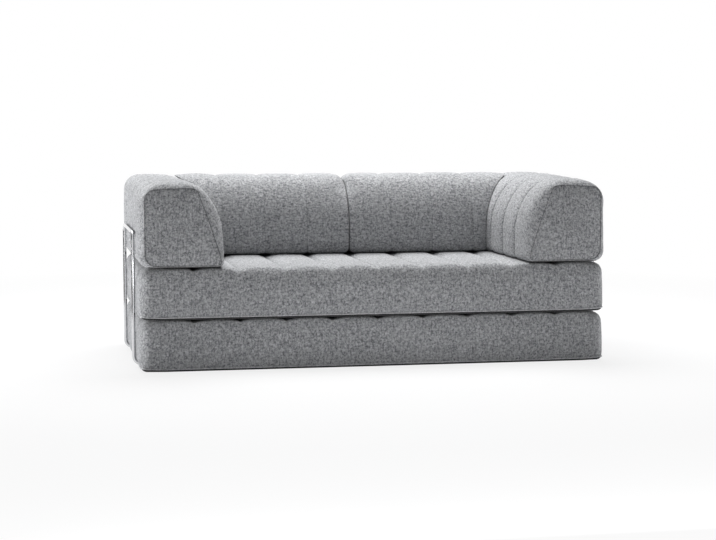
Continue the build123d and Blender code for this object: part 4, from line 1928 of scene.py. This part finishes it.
@dataclass
class Studio:
    """Pale floor, soft lamps, white surroundings and the camera."""

    sky_strength: float = 0.11
    floor_size: float = 40.0
    card_distance: float = 2.7
    floor_glow: float = 0.82
    glow_full: tuple[float, float] = (2.4, 4.5)

    def camera(self) -> None:
        """Sets the camera where the photograph was taken from."""
        data = bpy.data.cameras.new("camera")
        data.lens = 86.73
        data.sensor_width = 36.0
        data.clip_end = 100.0
        eye = bpy.data.objects.new("camera", data)
        eye.location = (-1.520, -7.7925, 1.084)
        eye.rotation_euler = (math.radians(84.9), 0.0, math.radians(-11.12))
        bpy.context.scene.collection.objects.link(eye)
        bpy.context.scene.camera = eye

    def lamp(self, name: str, place: Triple, aim: Triple, size: tuple[float, float], power: float) -> None:
        """Adds a soft lamp that the camera doesn't see.

        Args:
            name: Its name.
            place: Where it hangs.
            aim: What it points at.
            size: The width and height of its panel.
            power: Its power in watts.
        """
        data = bpy.data.lights.new(name, "AREA")
        data.shape = "RECTANGLE"
        data.size, data.size_y = size
        data.energy = power
        lamp = bpy.data.objects.new(name, data)
        lamp.visible_camera = False
        lamp.location = place
        lamp.rotation_euler = (Vector(aim) - Vector(place)).to_track_quat("-Z", "Y").to_euler()
        bpy.context.scene.collection.objects.link(lamp)

    def lamps(self) -> None:
        """Lights the seat strongly from above and the front faces softly."""
        self.lamp("overhead", (0.0, 1.4, 3.8), (0.0, 0.7, 0.3), (3.2, 3.0), 285.0)
        self.lamp("left_side", (-4.4, 0.1, 0.5), (0.0, 0.1, 0.45), (1.4, 0.8), 108.0)
        self.lamp("right_side", (4.4, 0.1, 0.5), (0.0, 0.1, 0.45), (1.4, 0.8), 60.0)
        self.lamp("front_fill", (0.1, -3.6, 0.2), (0.1, 0.0, 0.32), (3.2, 0.3), 18.0)

    def dark_cards(self) -> None:
        """Stands a dark card at each side that only the chrome reflects, for its dark edges."""
        make = Recipe("dark_card")
        material = make.finish(Base_Color=(0.02, 0.02, 0.022, 1.0), Roughness=0.9)
        for side in Side:
            x = side.value * self.card_distance
            corners = [(x, y, z) for y, z in ((-2.0, 0.0), (2.6, 0.0), (2.6, 2.6), (-2.0, 2.6))]
            skin = Skin(np.array(corners))
            skin.add_face((0, 1, 2, 3), UNIT_PATCH)
            card = skin.mesh(f"{side.name.lower()}_card")
            card.data.materials.append(material)
            for ray in ("camera", "diffuse", "transmission", "shadow"):
                setattr(card, f"visible_{ray}", False)

    def surroundings(self) -> None:
        """Shows the camera and the chrome a white room, and lights the rest softly."""
        world = bpy.data.worlds.new("room")
        bpy.context.scene.world = world
        world.use_nodes = True
        make = NodeTree(world.node_tree)
        seen = make.tree.nodes["Background"]
        make.feed(seen.inputs["Color"], (1.0, 1.0, 1.0, 1.0))
        make.feed(seen.inputs["Strength"], 1.0)
        soft = make.node("Background", {"Color": (0.97, 0.98, 1.0, 1.0), "Strength": self.sky_strength})
        out = make.tree.nodes["World Output"].inputs["Surface"]
        make.split_view(soft.outputs[0], seen.outputs[0], out)

    def floor(self) -> None:
        """Lays a pale floor that keeps the object's soft shadow."""
        half = self.floor_size / 2
        corners = [(x, y, -0.0005) for x, y in ((-half, -half), (half, -half), (half, half), (-half, half))]
        skin = Skin(np.array(corners))
        skin.add_face((0, 1, 2, 3), UNIT_PATCH)
        floor = skin.mesh("floor")
        make = Recipe("pale_floor")
        make.finish(Base_Color=(0.82, 0.82, 0.83, 1.0), Roughness=0.9, Specular_IOR_Level=0.1)
        glow = make.node("Emission", {"Color": (1.0, 1.0, 1.0, 1.0), "Strength": 1.0})
        out = make.tree.nodes["Material Output"].inputs["Surface"]
        away = make.node("VectorMath", {0: make.place()}, operation="LENGTH").outputs["Value"]
        share = make.span(away, *self.glow_full, self.floor_glow, 1.0)
        make.split_view(make.shader.outputs[0], glow.outputs[0], out, share)
        floor.data.materials.append(make.material)

    def build(self) -> None:
        """Builds the whole studio."""
        self.camera()
        self.lamps()
        self.surroundings()
        self.floor()
        self.dark_cards()
        bpy.context.scene.view_settings.view_transform = "Standard"


def dress_nodes(finishes: dict[str, bpy.types.Material]) -> None:
    """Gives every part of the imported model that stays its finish.

    Args:
        finishes: The material for each ending of a node's name.
    """
    for name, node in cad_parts.items():
        material = next(made for ending, made in finishes.items() if name.endswith(ending))
        node.data.materials.clear()
        node.data.materials.append(material)


def main() -> None:
    """Builds the pieces in order."""
    logging.basicConfig(level=logging.INFO, format="%(message)s")
    fabric = MelangeFabric().material()
    chrome = PolishedChrome().material()
    black = MouldedPlastic("black_plastic", (0.045, 0.045, 0.047, 1.0), (0.11, 0.11, 0.112, 1.0)).material()
    foam = OpenCellFoam().material()
    tape = ZipTape().material()
    teeth = MouldedPlastic("zip_teeth", (0.19, 0.195, 0.205, 1.0), (0.3, 0.305, 0.315, 1.0)).material()
    # A lighter copy of the fabric: a painted highlight for the welts
    welt_highlight_cloth = MelangeFabric("welt_highlight_fabric", ground=(0.6, 0.61, 0.62, 1.0), light=(0.8, 0.81, 0.82, 1.0),
                               dark=(0.3, 0.305, 0.32, 1.0)).material()
    dress_nodes({
        "_cover": fabric,
        "_foam": foam,
        "_springs": SpringFelt().material(),
        "_board": Plywood().material(),
        "_bolts": ZincPlate().material(),
        "_loop": chrome,
        "_end_caps": black,
        "_glides": black,
        "_zip": tape,
    })
    Studio().build()
    for seed, level in ((3.1, Level.LOWER), (17.7, Level.UPPER)):
        body = f"{level.name.lower()}_mattress"
        mattress = Mattress(f"{body}_quilt", body, fabric, seed, level=level)
        quilt = mattress.build(f"{body}_cover")
        path = mattress.edge_path(mattress.welt_height)
        Welt(f"{body}_lower_welt", body, welt_highlight_cloth).build(path, quilt)
        ZipFastener(f"{body}_fastener", body, tape, teeth).build(mattress.zip_path(), quilt, f"{body}_zip")
    for seed, side in ((31.3, Side.LEFT), (43.9, Side.RIGHT)):
        label = side.name.lower()
        for kind, ending, far, shift in ((ArmBolster, "arm", True, 0.0), (BackBolster, "back", False, 5.0)):
            body = f"{label}_{ending}"
            bolster = kind(f"{body}_bolster", body, fabric, seed + shift, side=side)
            quilt = bolster.build(f"{body}_cover")
            path = bolster.zip_path(far)
            ZipFastener(f"{body}_fastener", body, tape, teeth).build(path, quilt, f"{body}_zip")
        for kind, ending, feet in ((ArmLoop, "arm", SIDE_FEET), (BackLoop, "back", BACK_FEET)):
            body = f"{label}_{ending}"
            kind(f"{body}_tube", body, chrome, feet, side=side).build(f"{body}_loop")


if __name__ == "__main__":
    main()
